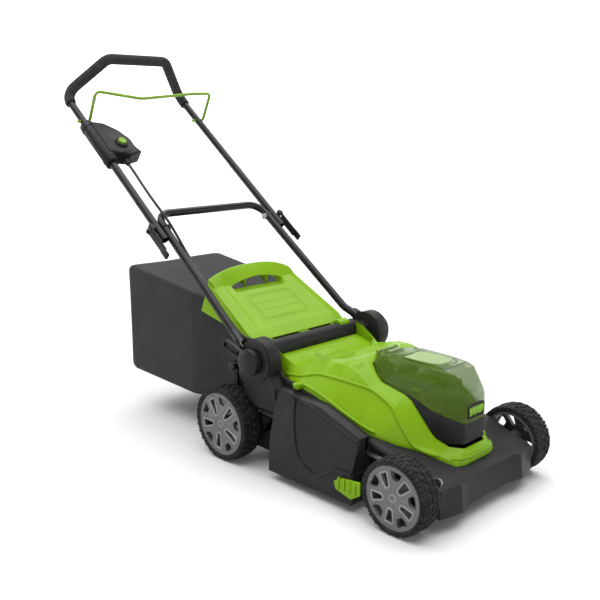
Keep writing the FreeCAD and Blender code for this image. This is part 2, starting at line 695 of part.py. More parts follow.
def cutting_gear():
    centre = ("0", "mower_centre")
    roof = "chamber_roof + deck_wall"
    can = cylinder("motor_can_outer", "z", centre, "motor_radius", (f"{roof} + 0.2", f"{roof} + motor_height"))
    well = cylinder("motor_can_well", "z", centre, "motor_radius - 6", (f"{roof} + 8", f"{roof} + motor_height - 6"))
    bore = cylinder("motor_can_bore", "z", centre, "shaft_diameter / 2 + running_clearance",
                    (f"{roof} - 5", f"{roof} + motor_height - 3"))
    node("motor_can", [cut("motor_can_form", cut("motor_can_hollow", can, well), bore)])
    shaft = cylinder("motor_shaft_bar", "z", centre, "shaft_diameter / 2",
                     ("blade_height + blade_thickness + 14", f"{roof} + motor_height - 4"))
    magnets = cylinder("motor_rotor", "z", centre, "motor_radius - 10", (f"{roof} + 16", f"{roof} + motor_height - 14"))
    node("motor_shaft", [fused("motor_shaft_form", [shaft, magnets])])
    carrier = cylinder("blade_carrier_disc", "z", centre, "34",
                       ("blade_height + blade_thickness + 0.02", "blade_height + blade_thickness + 8"))
    neck = cylinder("blade_carrier_neck", "z", centre, "16",
                    ("blade_height + blade_thickness + 6", "blade_height + blade_thickness + 30"))
    socket = cylinder("blade_carrier_socket", "z", centre, "shaft_diameter / 2",
                      ("blade_height + blade_thickness + 14", "blade_height + blade_thickness + 40"))
    thread = cylinder("blade_carrier_thread", "z", centre, "5", ("blade_height", "blade_height + 30"))
    carrier = cut("carrier_socketed", fused("carrier_solid", [carrier, neck]), socket)
    node("blade_carrier", [cut("blade_carrier_form", carrier, thread)])

    reach = d.cut_diameter / 2
    half = d.blade_width / 2
    base = d.blade_height
    y0 = d.mower_centre
    outline = [(-reach, -half + 6), (-reach + 8, -half), (reach - 90, -half), (reach - 80, -half + 8),
               (reach, -half + 8), (reach, half - 6), (reach - 8, half), (-reach + 90, half),
               (-reach + 80, half - 8), (-reach, half - 8)]
    blade = prism([Vector(x, y0 + y, base) for x, y in outline], Vector(0, 0, d.blade_thickness))
    for turn in (0, 180):
        wing = side_plate([(y0 + half - 20, base), (y0 + half, base + 14), (y0 + half, base + 14 + d.blade_thickness),
                           (y0 + half - 22, base + d.blade_thickness)], reach - 76, reach - 14)
        wing.rotate(Vector(0, y0, 0), Vector(0, 0, 1), 180 + turn)
        blade = blade.fuse(wing)
    blade = blade.cut(Part.makeCylinder(5.0, 30, Vector(0, y0, base - 10)))
    node("blade", [shaped("blade_form", blade.removeSplitter())])
    washer = cylinder("blade_washer", "z", centre, "15", ("blade_height - 3.02", "blade_height - 0.02"))
    head = doc.addObject("Part::Prism", "blade_bolt_head")
    head.Polygon = 6
    bind(head, {"Circumradius": "9.8", "Height": "7", "Placement.Base.y": "mower_centre",
                "Placement.Base.z": "blade_height - 10"})
    shank = cylinder("blade_bolt_shank", "z", centre, "5", ("blade_height - 4", "blade_height + 13"))
    node("blade_bolt", [fused("blade_bolt_form", [head, washer, shank])])


# ------------------------------------------------- rear bridge and flap

HINGE = (PIVOT_Y + 46.0, d.bridge_top - 9.0)


def towers():
    """Handle bearings either side of the bridge, arched over the pivots."""
    pivot = Vector(0, PIVOT_Y, d.pivot_height)
    y, z = PIVOT_Y, d.pivot_height
    front = along(SHOULDER[-1][0]) + d.seat_gap
    outline = [(front, 150), (y + 4, 150), (y + d.tower_radius - 10, 178), (y + d.tower_radius, z - 30),
               (y + d.tower_radius, z), (y, z + 20), (y - 16, z + 34), (y - 42, z - 33), (front, 206)]
    outer = side_plate(outline, d.tower_step, d.tower_outer)
    arch = Part.makeCylinder(d.tower_radius, d.tower_outer - d.tower_step, pivot + Vector(d.tower_step, 0, 0),
                             Vector(1, 0, 0))
    seat = DECK_TOP + d.seat_gap
    inner = side_plate([(y - 20, seat), (y + d.tower_radius, seat), (y + d.tower_radius, z + 24),
                        (y, z + 26), (y - 14, z + 16)], d.tower_inner, d.tower_step + 1)
    tower = outer.fuse(arch).fuse(inner)
    tower = tower.cut(Part.makeCylinder(d.pivot_bolt_diameter / 2, 80, pivot + Vector(140, 0, 0), Vector(1, 0, 0)))
    tower = tower.cut(Part.makeCylinder(11.0, 16.0, pivot + Vector(d.tower_inner - 1, 0, 0), Vector(1, 0, 0)))
    tower = tower.cut(Part.makeCylinder(d.flap_rod_diameter / 2, 14, Vector(d.tower_inner - 1, *HINGE),
                                        Vector(1, 0, 0)))
    tower = tower.removeSplitter()
    for side, shape in zip(("left", "right"), both_sides(tower)):
        node(f"pivot_tower_{side}", [shaped(f"pivot_tower_{side}_form", shape)])

    discs = Part.makeCylinder(48.0, 5.0, pivot + Vector(d.tower_outer, 0, 0), Vector(1, 0, 0))
    discs = discs.cut(Part.makeCylinder(d.pivot_bolt_diameter / 2, 80, pivot + Vector(150, 0, 0), Vector(1, 0, 0)))
    node("pivot_discs", [shaped(f"pivot_disc_{side}", shape)
                         for side, shape in zip(("left", "right"), both_sides(discs))])
    bolt = Part.makeCylinder(d.pivot_bolt_diameter / 2, 60.0, pivot + Vector(d.tower_inner + 10, 0, 0), Vector(1, 0, 0))
    head = Part.makeCylinder(10.5, 6.0, pivot + Vector(d.tower_inner + 8, 0, 0), Vector(1, 0, 0))
    node("pivot_bolts", [shaped(f"pivot_bolt_{side}", shape)
                         for side, shape in zip(("left", "right"), both_sides(bolt.fuse(head)))])

    bar = box("bridge_bar", ("-tower_inner", "tower_inner"),
              ("wheelbase / 2 - pivot_ahead + 10", "wheelbase / 2 - pivot_ahead + 10 + bridge_depth"),
              ("bridge_top - bridge_height", "bridge_top"))
    rounded = doc.addObject("Part::Fillet", "rear_bridge_form")
    rounded.Base = bar
    rounded.Edges = [(edge, 6.0, 6.0) for edge in (10, 12)]
    node("rear_bridge", [rounded])
    clip = side_plate([(y + 14, d.bridge_top + 0.05), (y + 34, d.bridge_top + 0.05), (y + 40, d.bridge_top - 2),
                       (y + 42, d.bridge_top + 5), (y + 30, d.bridge_top + 12), (y + 16, d.bridge_top + 8)], 96, 130)
    node("bridge_clip", [shaped("bridge_clip_form", clip)])


def flap():
    """Rear flap: a hood over the bag's mouth with an arched lifting handle."""
    hinge_y, hinge_z = HINGE
    front, rear = hinge_y + 6.0, REAR_Y + 156.0
    gap_x = d.tower_inner - 1.5

    wide = d.flap_half_width

    def hood(inset):
        drop = 9 if inset else 0
        top_front = [(gap_x - 4 - inset, 283 - inset), (gap_x - inset, 279 - drop)]
        mouth = [(wide - 4 - inset, 300 - inset), (wide - inset, 288 - drop)]
        back = [(137 - inset, 400.5 - inset), (wide - inset, 326 - drop)]
        stations = [(front + inset, top_front), (front + 26, mouth), (rear + (1 if inset else 0), back)]
        return ring_loft([(y, list(reversed(half))) for y, half in stations])

    plate = hood(0).cut(hood(d.flap_wall))
    slot = Part.makeBox(186, 40, 80, Vector(-93, rear - 62, 350))
    plate = plate.cut(slot)
    arch_points = [Vector(-137, rear, 397), Vector(0, rear, 428), Vector(137, rear, 397)]
    under_points = [p - Vector(0, 0, 5) for p in arch_points]
    top_arc = Part.Arc(*arch_points).toShape()
    low_arc = Part.Arc(*reversed(under_points)).toShape()
    ends = [Part.makeLine(arch_points[2], under_points[2]), Part.makeLine(under_points[0], arch_points[0])]
    arch = Part.Face(Part.Wire([top_arc, ends[0], low_arc, ends[1]])).extrude(Vector(0, -22, 0))
    lip = prism([Vector(-137, rear - 5, 392), Vector(-137, rear - 5, 400), Vector(137, rear - 5, 400),
                 Vector(137, rear - 5, 392)], Vector(0, 5, 0))
    plate = plate.fuse(arch).fuse(lip)
    across = Vector(1, 0, 0)
    for x in (-136, -15, 98):
        knuckle = Part.makeCylinder(6.5, 30, Vector(x, hinge_y, hinge_z), across)
        web = side_plate([(hinge_y, hinge_z + 1), (front + 6, hinge_z - 2), (front + 6, hinge_z + 7),
                          (hinge_y, hinge_z + 6)], x, x + 30)
        plate = plate.fuse(knuckle).fuse(web)
    plate = plate.cut(Part.makeCylinder(d.flap_rod_diameter / 2 + d.running_clearance, 400,
                                        Vector(-200, hinge_y, hinge_z), across))
    node("rear_flap", [shaped("rear_flap_form", plate.removeSplitter())])
    rod_half = d.tower_inner + 12
    bar = Part.makeCylinder(d.flap_rod_diameter / 2, 2 * rod_half, Vector(-rod_half, hinge_y, hinge_z), across)
    node("flap_rod", [shaped("flap_rod_form", bar)])
    wire_r, coil_r = 0.8, d.flap_rod_diameter / 2 + 1.4
    spring = Part.makeCylinder(coil_r + wire_r, 10, Vector(-72, hinge_y, hinge_z), across)
    spring = spring.cut(Part.makeCylinder(coil_r - wire_r, 20, Vector(-76, hinge_y, hinge_z), across))
    node("flap_spring", [shaped("flap_spring_form", spring)])


# ------------------------------------------------------------- grass bag

def grass_bag():
    """Fabric box, open at the front, on a moulded mouth frame with a handle."""
    start = CHUTE_END + d.fit_gap

    def bulk(inset):
        wide = d.bag_half_width
        front = start + 8 - (20 if inset else 0)
        stations = [(front, wide - 21, 122, 318), (start + 70, wide - 17, 100, 352),
                    (start + 160, wide - 2, 94, 362), (start + d.bag_length - inset, wide, 106, 400)]
        wires = []
        for y, half, low, high in stations:
            half, low, high = half - inset, low + inset, high - inset
            corner = 12.0
            wires.append(polygon([Vector(-half + corner, y, low), Vector(half - corner, y, low),
                                  Vector(half, y, low + corner), Vector(half, y, high - corner),
                                  Vector(half - corner, y, high), Vector(-half + corner, y, high),
                                  Vector(-half, y, high - corner), Vector(-half, y, low + corner)]))
        return Part.makeLoft(wires, True, True)

    fabric = bulk(0).cut(bulk(2.5))
    node("grass_bag", [shaped("grass_bag_form", fabric)])
    low, high, wide = 118.0, 322.0, d.bag_half_width - 17
    frame = Part.makeBox(2 * wide, 7.6, high - low, Vector(-wide, start, low))
    frame = frame.cut(Part.makeBox(2 * wide - 24, 20, high - low - 24, Vector(-wide + 12, start - 5, low + 12)))
    node("bag_frame", [shaped("bag_frame_form", frame)])


def trim():
    """Green grass combs let into the skirts' feet, beside the front wheels."""
    outline = [(-172, 52), (-148, 36), (-106, 46), (-101, 62), (-122, 74), (-172, 80)]
    low = d.skirt_half_width + 0.05
    comb = side_plate([(along(y), z) for y, z in outline], low, low + 4)
    for index in range(4):
        rib_y = along(-162 + 15 * index)
        comb = comb.fuse(side_plate([(rib_y, 50), (rib_y + 4, 48), (rib_y + 4, 74), (rib_y, 76)], low, low + 7))
    node("grass_combs", [shaped(f"grass_comb_{side}", shape)
                         for side, shape in zip(("left", "right"), both_sides(comb.removeSplitter()))])


# ---------------------------------------------------------------- handle
# From here on Y runs up the legs from the clamp bolts, Z stands square to them.

def into_handle(x, y, z):
    """Point of the mower's frame, seen from the handle's own frame."""
    angle = math.radians(d.handle_angle)
    ahead = y - (REAR_Y + d.clamp_behind)
    rise = z - d.clamp_height
    return Vector(x, ahead * math.cos(angle) + rise * math.sin(angle),
                  rise * math.cos(angle) - ahead * math.sin(angle))


def crosswise(radius, centre_y, centre_z, low, high):
    return Part.makeCylinder(radius, high - low, Vector(low, centre_y, centre_z), Vector(1, 0, 0))


KNEE = Vector(-LOWER_HALF - 15.5, -354.0, 2.0)
HOOP_CORNER = Vector(-LOWER_HALF, d.hoop_reach, 0)
GRIP_CORNER = Vector(-d.upper_half_width + 5.0, d.grip_reach, 0)


def lower_path(foot):
    """Centre line of the lower tube from one foot, over the hoop, to the other."""
    left = [foot, KNEE, HOOP_CORNER]
    points = left + [Vector(-p.x, p.y, p.z) for p in reversed(left)]
    return bent_path(points, [60.0, 42.0, 42.0, 60.0])


def lower_handle():
    """U-shaped tube: flattened feet at the pivots, splayed, then straight legs."""
    pivot = into_handle(-d.pivot_half_width, PIVOT_Y, d.pivot_height)
    toward = (KNEE - pivot).normalize()
    foot = pivot + toward * 62.0
    path = lower_path(foot)
    solid = rod(path, TUBE_R).cut(rod(path, TUBE_R - d.tube_wall))
    inner_face = -(d.pivot_half_width - 2.5)
    flat = Vector(0, toward.y, toward.z).normalize()
    square = Vector(0, -flat.z, flat.y)
    bend = pivot + toward * 52.0
    end = foot + toward * 16.0
    outline = [pivot + square * 13, bend + square * 11.5, bend - square * 11.5, pivot - square * 13]
    plate = prism([Vector(inner_face - 5, p.y, p.z) for p in outline], Vector(5, 0, 0))
    plate = plate.fuse(crosswise(13.0, pivot.y, pivot.z, inner_face - 5, inner_face))
    neck = [polygon([place + across + Vector(step, 0, 0) for across, step in
                     ((square * half, 0), (square * half, -5), (square * -half, -5), (square * -half, 0))])
            for place, half in ((Vector(inner_face, bend.y, bend.z), 11.5), (end + Vector(2.5, 0, 0), 9.4))]
    plate = plate.fuse(Part.makeLoft(neck, True, True))
    for piece in both_sides(plate):
        solid = solid.fuse(piece)
    solid = solid.cut(crosswise(d.pivot_bolt_diameter / 2 + d.running_clearance, pivot.y, pivot.z, -240, 240))
    solid = solid.cut(crosswise(d.clamp_bolt_diameter / 2, 0, 0, -240, 240))
    node("lower_handle", [shaped("lower_handle_form", solid)], "handle")


def grip_path():
    """Centre line of the upper tube: legs, then the grip raised between them."""
    left = [Vector(-d.upper_half_width, -d.upper_tail, 0), GRIP_CORNER,
            Vector(-d.grip_half_width, d.grip_reach + 6, d.grip_rise)]
    points = left + [Vector(-p.x, p.y, p.z) for p in reversed(left)]
    return bent_path(points, [38.0, 34.0, 34.0, 38.0])


def leg_x(first, last, reach):
    """Distance of a leg's centre from the middle, at a reach up the handle."""
    share = (reach - first.y) / (last.y - first.y)
    return -(first.x + share * (last.x - first.x))


def lower_leg_x(reach):
    return leg_x(KNEE, HOOP_CORNER, reach)


def upper_leg_x(reach):
    return leg_x(Vector(-d.upper_half_width, -d.upper_tail, 0), GRIP_CORNER, reach)


def upper_handle():
    path = grip_path()
    tube = rod(path, TUBE_R).cut(rod(path, TUBE_R - d.tube_wall))
    tube = tube.cut(crosswise(d.clamp_bolt_diameter / 2 + d.running_clearance, 0, 0, -240, 240))
    tube = tube.cut(crosswise(d.spare_hole_diameter / 2, d.spare_hole_reach, 0, -240, -150))
    tube = tube.cut(crosswise(d.bail_rod_diameter / 2 + d.running_clearance, d.bail_reach, 0, -240, 240))
    node("upper_handle", [shaped("upper_handle_form", tube)], "handle")
    sleeve = rod(path, d.foam_diameter / 2).cut(rod(path, TUBE_R + 0.02))
    sleeve = sleeve.common(Part.makeBox(500, 200, 300, Vector(-250, d.foam_start, -60)))
    node("foam_grip", [shaped("foam_grip_form", sleeve)], "handle")


def clamps():
    """Bolts, saddles and cam levers that hold the upper legs to the lower ones."""
    bolt_r = d.clamp_bolt_diameter / 2
    lower_x, upper_x = lower_leg_x(0), upper_leg_x(0)
    saddle = crosswise(11.0, 0, 0, lower_x, upper_x - TUBE_R - d.seat_gap)
    saddle = saddle.cut(rod(lower_path(Vector(-d.pivot_half_width, -450, 0)), TUBE_R + 0.02))
    saddle = saddle.cut(crosswise(bolt_r, 0, 0, 0, 300))
    saddle = max(saddle.Solids, key=lambda solid: solid.Volume)
    node("clamp_saddles", [shaped(f"clamp_saddle_{side}", shape)
                           for side, shape in zip(("left", "right"), both_sides(saddle))], "handle")
    inside, upper_out = lower_x - TUBE_R, upper_x + TUBE_R
    bolt = crosswise(bolt_r, 0, 0, inside - 5, upper_out + 10)
    head = crosswise(8.0, 0, 0, inside - 5.5, inside - d.seat_gap)
    eye = Part.makeCylinder(4.6, 9.0, Vector(upper_out + 10, 0, -4.5))
    bolt = bolt.fuse(eye).cut(Part.makeCylinder(2.0, 30, Vector(upper_out + 10, 0, -15)))
    node("clamp_bolts", [shaped(f"clamp_bolt_{side}", shape)
                         for side, shape in zip(("left", "right"), both_sides(bolt.fuse(head)))], "handle")
    pin_x = upper_out + 10
    lever = Part.makeCylinder(9.0, 22.0, Vector(pin_x, 0, -11))
    blade = Part.makeBox(8, 76, 20, Vector(pin_x, -76, -10))
    blade = blade.makeFillet(3.5, [e for e in blade.Edges if e.Length > 70])
    lever = lever.fuse(blade)
    tip = Part.makeBox(7, 26, 18, Vector(pin_x + 3, -96, -9))
    tip = tip.makeFillet(3.0, [e for e in tip.Edges if e.Length > 25])
    lever = lever.fuse(tip)
    gap = Part.makeBox(40, 22, 9.8, Vector(pin_x - 30, -11, -4.9))
    lever = lever.cut(gap)
    lever = lever.fuse(Part.makeCylinder(2.0 - d.running_clearance, 22.0, Vector(pin_x, 0, -11)))
    for side, shape in zip(("left", "right"), both_sides(lever.removeSplitter())):
        node(f"cam_lever_{side}", [shaped(f"cam_lever_{side}_form", shape)], "handle")


def pivot_levers():
    """Domed caps with a looped finger lever, outside the handle's feet."""
    pivot = into_handle(0, PIVOT_Y, d.pivot_height)
    start = d.pivot_half_width + 2.5 + 0.3
    cap = crosswise(31.0, pivot.y, pivot.z, start, start + 15)
    cap = cap.fuse(Part.makeCone(31.0, 19.0, 5.0, Vector(start + 15, pivot.y, pivot.z), Vector(1, 0, 0)))
    angle = math.radians(17.7 - d.handle_angle)
    along = Vector(0, math.cos(angle), math.sin(angle))
    square = Vector(0, -along.z, along.y)
    low = Vector(start + 1, pivot.y, pivot.z)

    def loop(length, half, thick):
        tip = low + along * length
        near = low + along * 20
        blank = prism([near + square * half, tip + square * half, tip - square * half, near - square * half],
                      Vector(thick, 0, 0))
        return blank.fuse(Part.makeCylinder(half, thick, tip, Vector(1, 0, 0)))

    opening = loop(84.0, 6.0, 20.0).translated(Vector(-5, 0, 0))
    ring = loop(84.0, 13.0, 9.0)
    cut_off = crosswise(31.0, pivot.y, pivot.z, start - 10, start + 30)
    solid = cap.fuse(ring.cut(opening.cut(cut_off)))
    solid = solid.cut(crosswise(d.pivot_bolt_diameter / 2 + d.running_clearance, pivot.y, pivot.z, 0, start + 9))
    for side, shape in zip(("left", "right"), both_sides(solid.removeSplitter())):
        node(f"pivot_lever_{side}", [shaped(f"pivot_lever_{side}_form", shape)], "handle")


def bail():
    """Operator presence bar: a bent rod whose ends turn in the upper legs."""
    rod_r = d.bail_rod_diameter / 2
    reach = d.bail_reach
    leg = upper_leg_x(reach)
    near, far = leg - TUBE_R - 9, leg + TUBE_R + 9
    points = [Vector(-leg - TUBE_R - 6, reach, 0), Vector(-near, reach, 0), Vector(-near, reach + 18, 86),
              Vector(-20, reach + 20, 62), Vector(150, reach + 18, 84), Vector(far, reach + 18, 86),
              Vector(far, reach, 0), Vector(near, reach, 0)]
    bar = rod(bent_path(points, [9.0, 14.0, 90.0, 200.0, 12.0, 9.0]), rod_r)
    node("bail", [shaped("bail_form", bar)], "handle")
    arm = (points[2] - points[1]).normalize()
    top = points[1] + arm * 62.0
    foot = Vector(-150, d.box_start + d.box_length - 22, d.box_half_height + 1.2)
    along_wire = (foot - top).normalize()
    aside = along_wire.cross(arm).Length
    wire_r, collar_length = 0.7, 6.4
    clear = (rod_r + d.seat_gap + wire_r) / aside
    wire = rod(Part.Wire([Part.makeLine(top + along_wire * clear, foot)]), wire_r)
    collar = Part.makeCylinder(rod_r + 2.2, collar_length, top - arm * (collar_length / 2), arm)
    collar = collar.cut(Part.makeCylinder(rod_r + 0.1, 30.0, top - arm * 15, arm))
    node("bail_wire", [shaped("bail_wire_form", wire), shaped("bail_wire_collar", collar)], "handle")


def switch_box():
    """Two-shell switch housing clamped round the right-hand upper leg."""
    first, last = d.box_start, d.box_start + d.box_length
    centre_x = -upper_leg_x(first + d.box_length / 2)
    half, edge = d.box_half_height, -d.box_inner_edge
    button_at = (-146.0, first + 58)
    skirt_z = half - 3.6
    up, along_leg = Vector(0, 0, 1), Vector(0, 1, 0)

    def post(radius, low, high):
        return Part.makeCylinder(radius, high - low, Vector(*button_at, low), up)

    outline = [(centre_x, first + 26), (-138, first + 12), (edge + 8, first + 22), (edge, first + 44),
               (edge, first + 74), (edge - 18, first + 112), (-158, last - 12), (centre_x, last - 4)]
    slab = prism([Vector(x, y, -half) for x, y in outline], up * (2 * half))
    slab = slab.makeFillet(5.0, [e for e in slab.Edges if abs(abs(e.CenterOfMass.z) - half) < 1e-6
                                 and e.CenterOfMass.x > centre_x + 2])
    barrel = Part.makeCylinder(d.box_shell_radius, last - first, Vector(centre_x, first, 0), along_leg)
    body = slab.fuse(barrel).fuse(post(16.0, half - 2, half + 6))
    wall = 3.0
    cavity = prism([Vector(centre_x + 26, first + 34, wall - half), Vector(edge - 4, first + 34, wall - half),
                    Vector(edge - 4, first + 76, wall - half), Vector(centre_x + 26, last - 20, wall - half)],
                   up * (2 * half - 2 * wall))
    gland = Part.makeCylinder(5.05, 60, Vector(CABLE_X, first - 20, 0), along_leg)
    for tool in (cavity, rod(grip_path(), TUBE_R + 0.1), post(12.3, 0, half + 20), gland):
        body = body.cut(tool)
    upper = body.common(Part.makeBox(400, 400, 60, Vector(-400, 100, 0)))
    lower = body.common(Part.makeBox(400, 400, 60, Vector(-400, 100, -60)))
    for label, shell in (("switch_shell_upper", upper), ("switch_shell_lower", lower)):
        shell = max(shell.Solids, key=lambda solid: solid.Volume)
        node(label, [shaped(label + "_form", shell)], "handle")
    button = post(12.3 - d.seat_gap, skirt_z, skirt_z + 14.0)
    button = button.makeFillet(2.5, [e for e in button.Edges if e.CenterOfMass.z > half + 5])
    node("lock_button", [shaped("lock_button_form", button.fuse(post(4.0, 4.0, skirt_z)))], "handle")
    spring_foot = wall - half + d.button_travel + 0.8
    coil = post(6.6, spring_foot, skirt_z).cut(post(4.1, spring_foot - 1, skirt_z + 1))
    node("button_spring", [shaped("button_spring_form", coil)], "handle")
    relief = Part.makeCylinder(5.0, 26.0, Vector(CABLE_X, first + 10, 0), along_leg)
    relief = relief.fuse(Part.makeCone(6.5, 8.5, 16.0, Vector(CABLE_X, first - 6, 0), along_leg))
    bore = Part.makeCylinder(d.cable_diameter / 2 + 0.03, 80, Vector(CABLE_X, first - 20, 0), along_leg)
    node("strain_relief", [shaped("strain_relief_form", relief.cut(bore))], "handle")


# The cable's route.  The first two lengths are in the handle's frame, from the
# switch box past the clamp and down the leg, and the last is in the mower's.
CABLE_UPPER = [(CABLE_X, 262, 0), (CABLE_X, 216, 0), (-157, 168, 5), (-165, 122, 12), (-168, 96, 14.5),
               (-168, 70, 15)]
CABLE_LOWER = [(-168, 69.7, 15), (-168, 40, 15.5), (-167, 2, 15), (-166, -40, 9), (-166, -90, 2),
               (-167, -150, -3), (-167.5, -210, -8), (-167.5, -258, -10), (-167.5, -300, -11)]
CABLE_DECK = [(-167.5, 303.6, 327.0), (-167.5, 266, 298), (-167.5, 236, 289), (-167, 198, 290), (-166, 163, 291),
              (-164, 139, 281), (-162.5, 132.5, 252), (-165, 123, 228), (-171, 100, 219), (-174, 64, 218)]


def beside_leg(point, share):
    """Moves a cable point inward and outward with the lower leg's place and thickness."""
    inward = 175.0 - LOWER_HALF + TUBE_R - 10.0
    return Vector(point.x + inward * share, point.y, point.z)


def cable():
    """Switch cable, in one length for each body that carries it."""
    radius = d.cable_diameter / 2
    for label, route, frame in (("cable_upper", CABLE_UPPER, "handle"), ("cable_lower", CABLE_LOWER, "handle"),
                                ("cable_deck", CABLE_DECK, "mower")):
        points = [Vector(*point) for point in route]
        if label == "cable_upper":
            points = [beside_leg(p, p.z / route[-1][2]) for p in points]
        elif label == "cable_lower":
            points = [beside_leg(Vector(p.x, p.y, p.z * TUBE_R / 10 if p.z > 0 else p.z), 1.0) for p in points]
        else:
            points = [beside_leg(Vector(p.x, along(p.y), p.z), 1.0 if p.y > 220 else 0.0) for p in points]
        path = cord_path(points)
        tube = rod(path, radius)
        expected = math.pi * radius ** 2 * path.Length
        if abs(tube.Volume - expected) > 0.01 * expected:
            raise RuntimeError(f"{label} has the wrong volume")
        print(label, "length", round(path.Length, 1),
              "radii", [round(e.Curve.Radius) for e in path.Edges if hasattr(e.Curve, "Radius")])
        node(label, [shaped(label + "_form", tube)], frame)


front_pivot, rear_pivot = axles()
wheels()
deck(front_pivot, rear_pivot)
covers()
batteries()
cutting_gear()
towers()
flap()
grass_bag()
trim()
lower_handle()
upper_handle()
clamps()
pivot_levers()
bail()
switch_box()
cable()

doc.recompute()
for piece in doc.Objects:
    faults = {"Invalid", "Error"} & set(piece.State)
    if faults:
        raise RuntimeError(f"{piece.Label} did not build: {piece.State}")
for piece in nodes:
    if piece.Shape.isNull() or not piece.Shape.isValid():
        raise RuntimeError(f"{piece.Label} has no valid shape")

os.makedirs("parts", exist_ok=True)
for piece in nodes:
    piece.Shape.exportStep(f"parts/{piece.Label}.step")
print(len(nodes), "nodes")
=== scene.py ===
import json
import math

import bmesh
import bpy
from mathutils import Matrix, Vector
from mathutils.bvhtree import BVHTree

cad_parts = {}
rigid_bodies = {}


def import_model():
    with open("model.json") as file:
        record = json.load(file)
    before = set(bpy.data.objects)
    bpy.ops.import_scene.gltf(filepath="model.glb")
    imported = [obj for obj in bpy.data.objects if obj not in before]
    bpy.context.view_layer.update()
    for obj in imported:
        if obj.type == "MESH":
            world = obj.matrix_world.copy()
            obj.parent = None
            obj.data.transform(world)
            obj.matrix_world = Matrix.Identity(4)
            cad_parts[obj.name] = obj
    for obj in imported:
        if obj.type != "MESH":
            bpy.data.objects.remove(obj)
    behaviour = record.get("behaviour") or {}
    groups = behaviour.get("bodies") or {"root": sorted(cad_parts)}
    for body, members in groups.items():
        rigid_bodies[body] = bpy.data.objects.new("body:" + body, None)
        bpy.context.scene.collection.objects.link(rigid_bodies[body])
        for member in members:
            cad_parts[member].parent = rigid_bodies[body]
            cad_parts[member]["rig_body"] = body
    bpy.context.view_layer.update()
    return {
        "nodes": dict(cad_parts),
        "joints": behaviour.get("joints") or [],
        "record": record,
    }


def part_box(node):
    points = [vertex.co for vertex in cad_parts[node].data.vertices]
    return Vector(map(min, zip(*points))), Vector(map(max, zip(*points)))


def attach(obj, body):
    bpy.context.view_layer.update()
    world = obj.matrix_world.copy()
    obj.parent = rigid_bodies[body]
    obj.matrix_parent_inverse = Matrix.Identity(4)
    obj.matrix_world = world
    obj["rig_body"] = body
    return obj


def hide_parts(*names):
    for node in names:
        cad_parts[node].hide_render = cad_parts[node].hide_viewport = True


# Battery lawn mower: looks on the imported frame.  Metres, +Z up, +Y from the
# front bumper to the grip, the operator's right hand on -X.

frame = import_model()
record = frame["record"]
joint = {entry["name"]: entry for entry in frame["joints"]}

MM = 0.001
HUB_TURN = 44.0
HANDLE_ANGLE = math.radians(38.3)
CLAMP = Vector(joint["upper_fold"]["pos_m"])
WHEELS = {
    name: Vector(joint[f"wheel_{name}_spin"]["pos_m"])
    for name in ("front_left", "front_right", "rear_left", "rear_right")
}
# half way between the axles, where most places below are counted from
MIDDLE_Y = (WHEELS["front_left"].y + WHEELS["rear_left"].y) / 2


def at(x, y, z):
    """Point given in millimetres from the ground below the middle of the wheelbase."""
    return Vector((x * MM, y * MM + MIDDLE_Y, z * MM))


def on_handle(x, reach, rise):
    """Point in the handle's frame: reach up the legs from the clamps, rise square to them."""
    ahead = Vector((0, math.cos(HANDLE_ANGLE), math.sin(HANDLE_ANGLE)))
    square = Vector((0, -math.sin(HANDLE_ANGLE), math.cos(HANDLE_ANGLE)))
    return Vector((x * MM, CLAMP.y, CLAMP.z)) + ahead * (reach * MM) + square * (rise * MM)


# ------------------------------------------------------------- materials


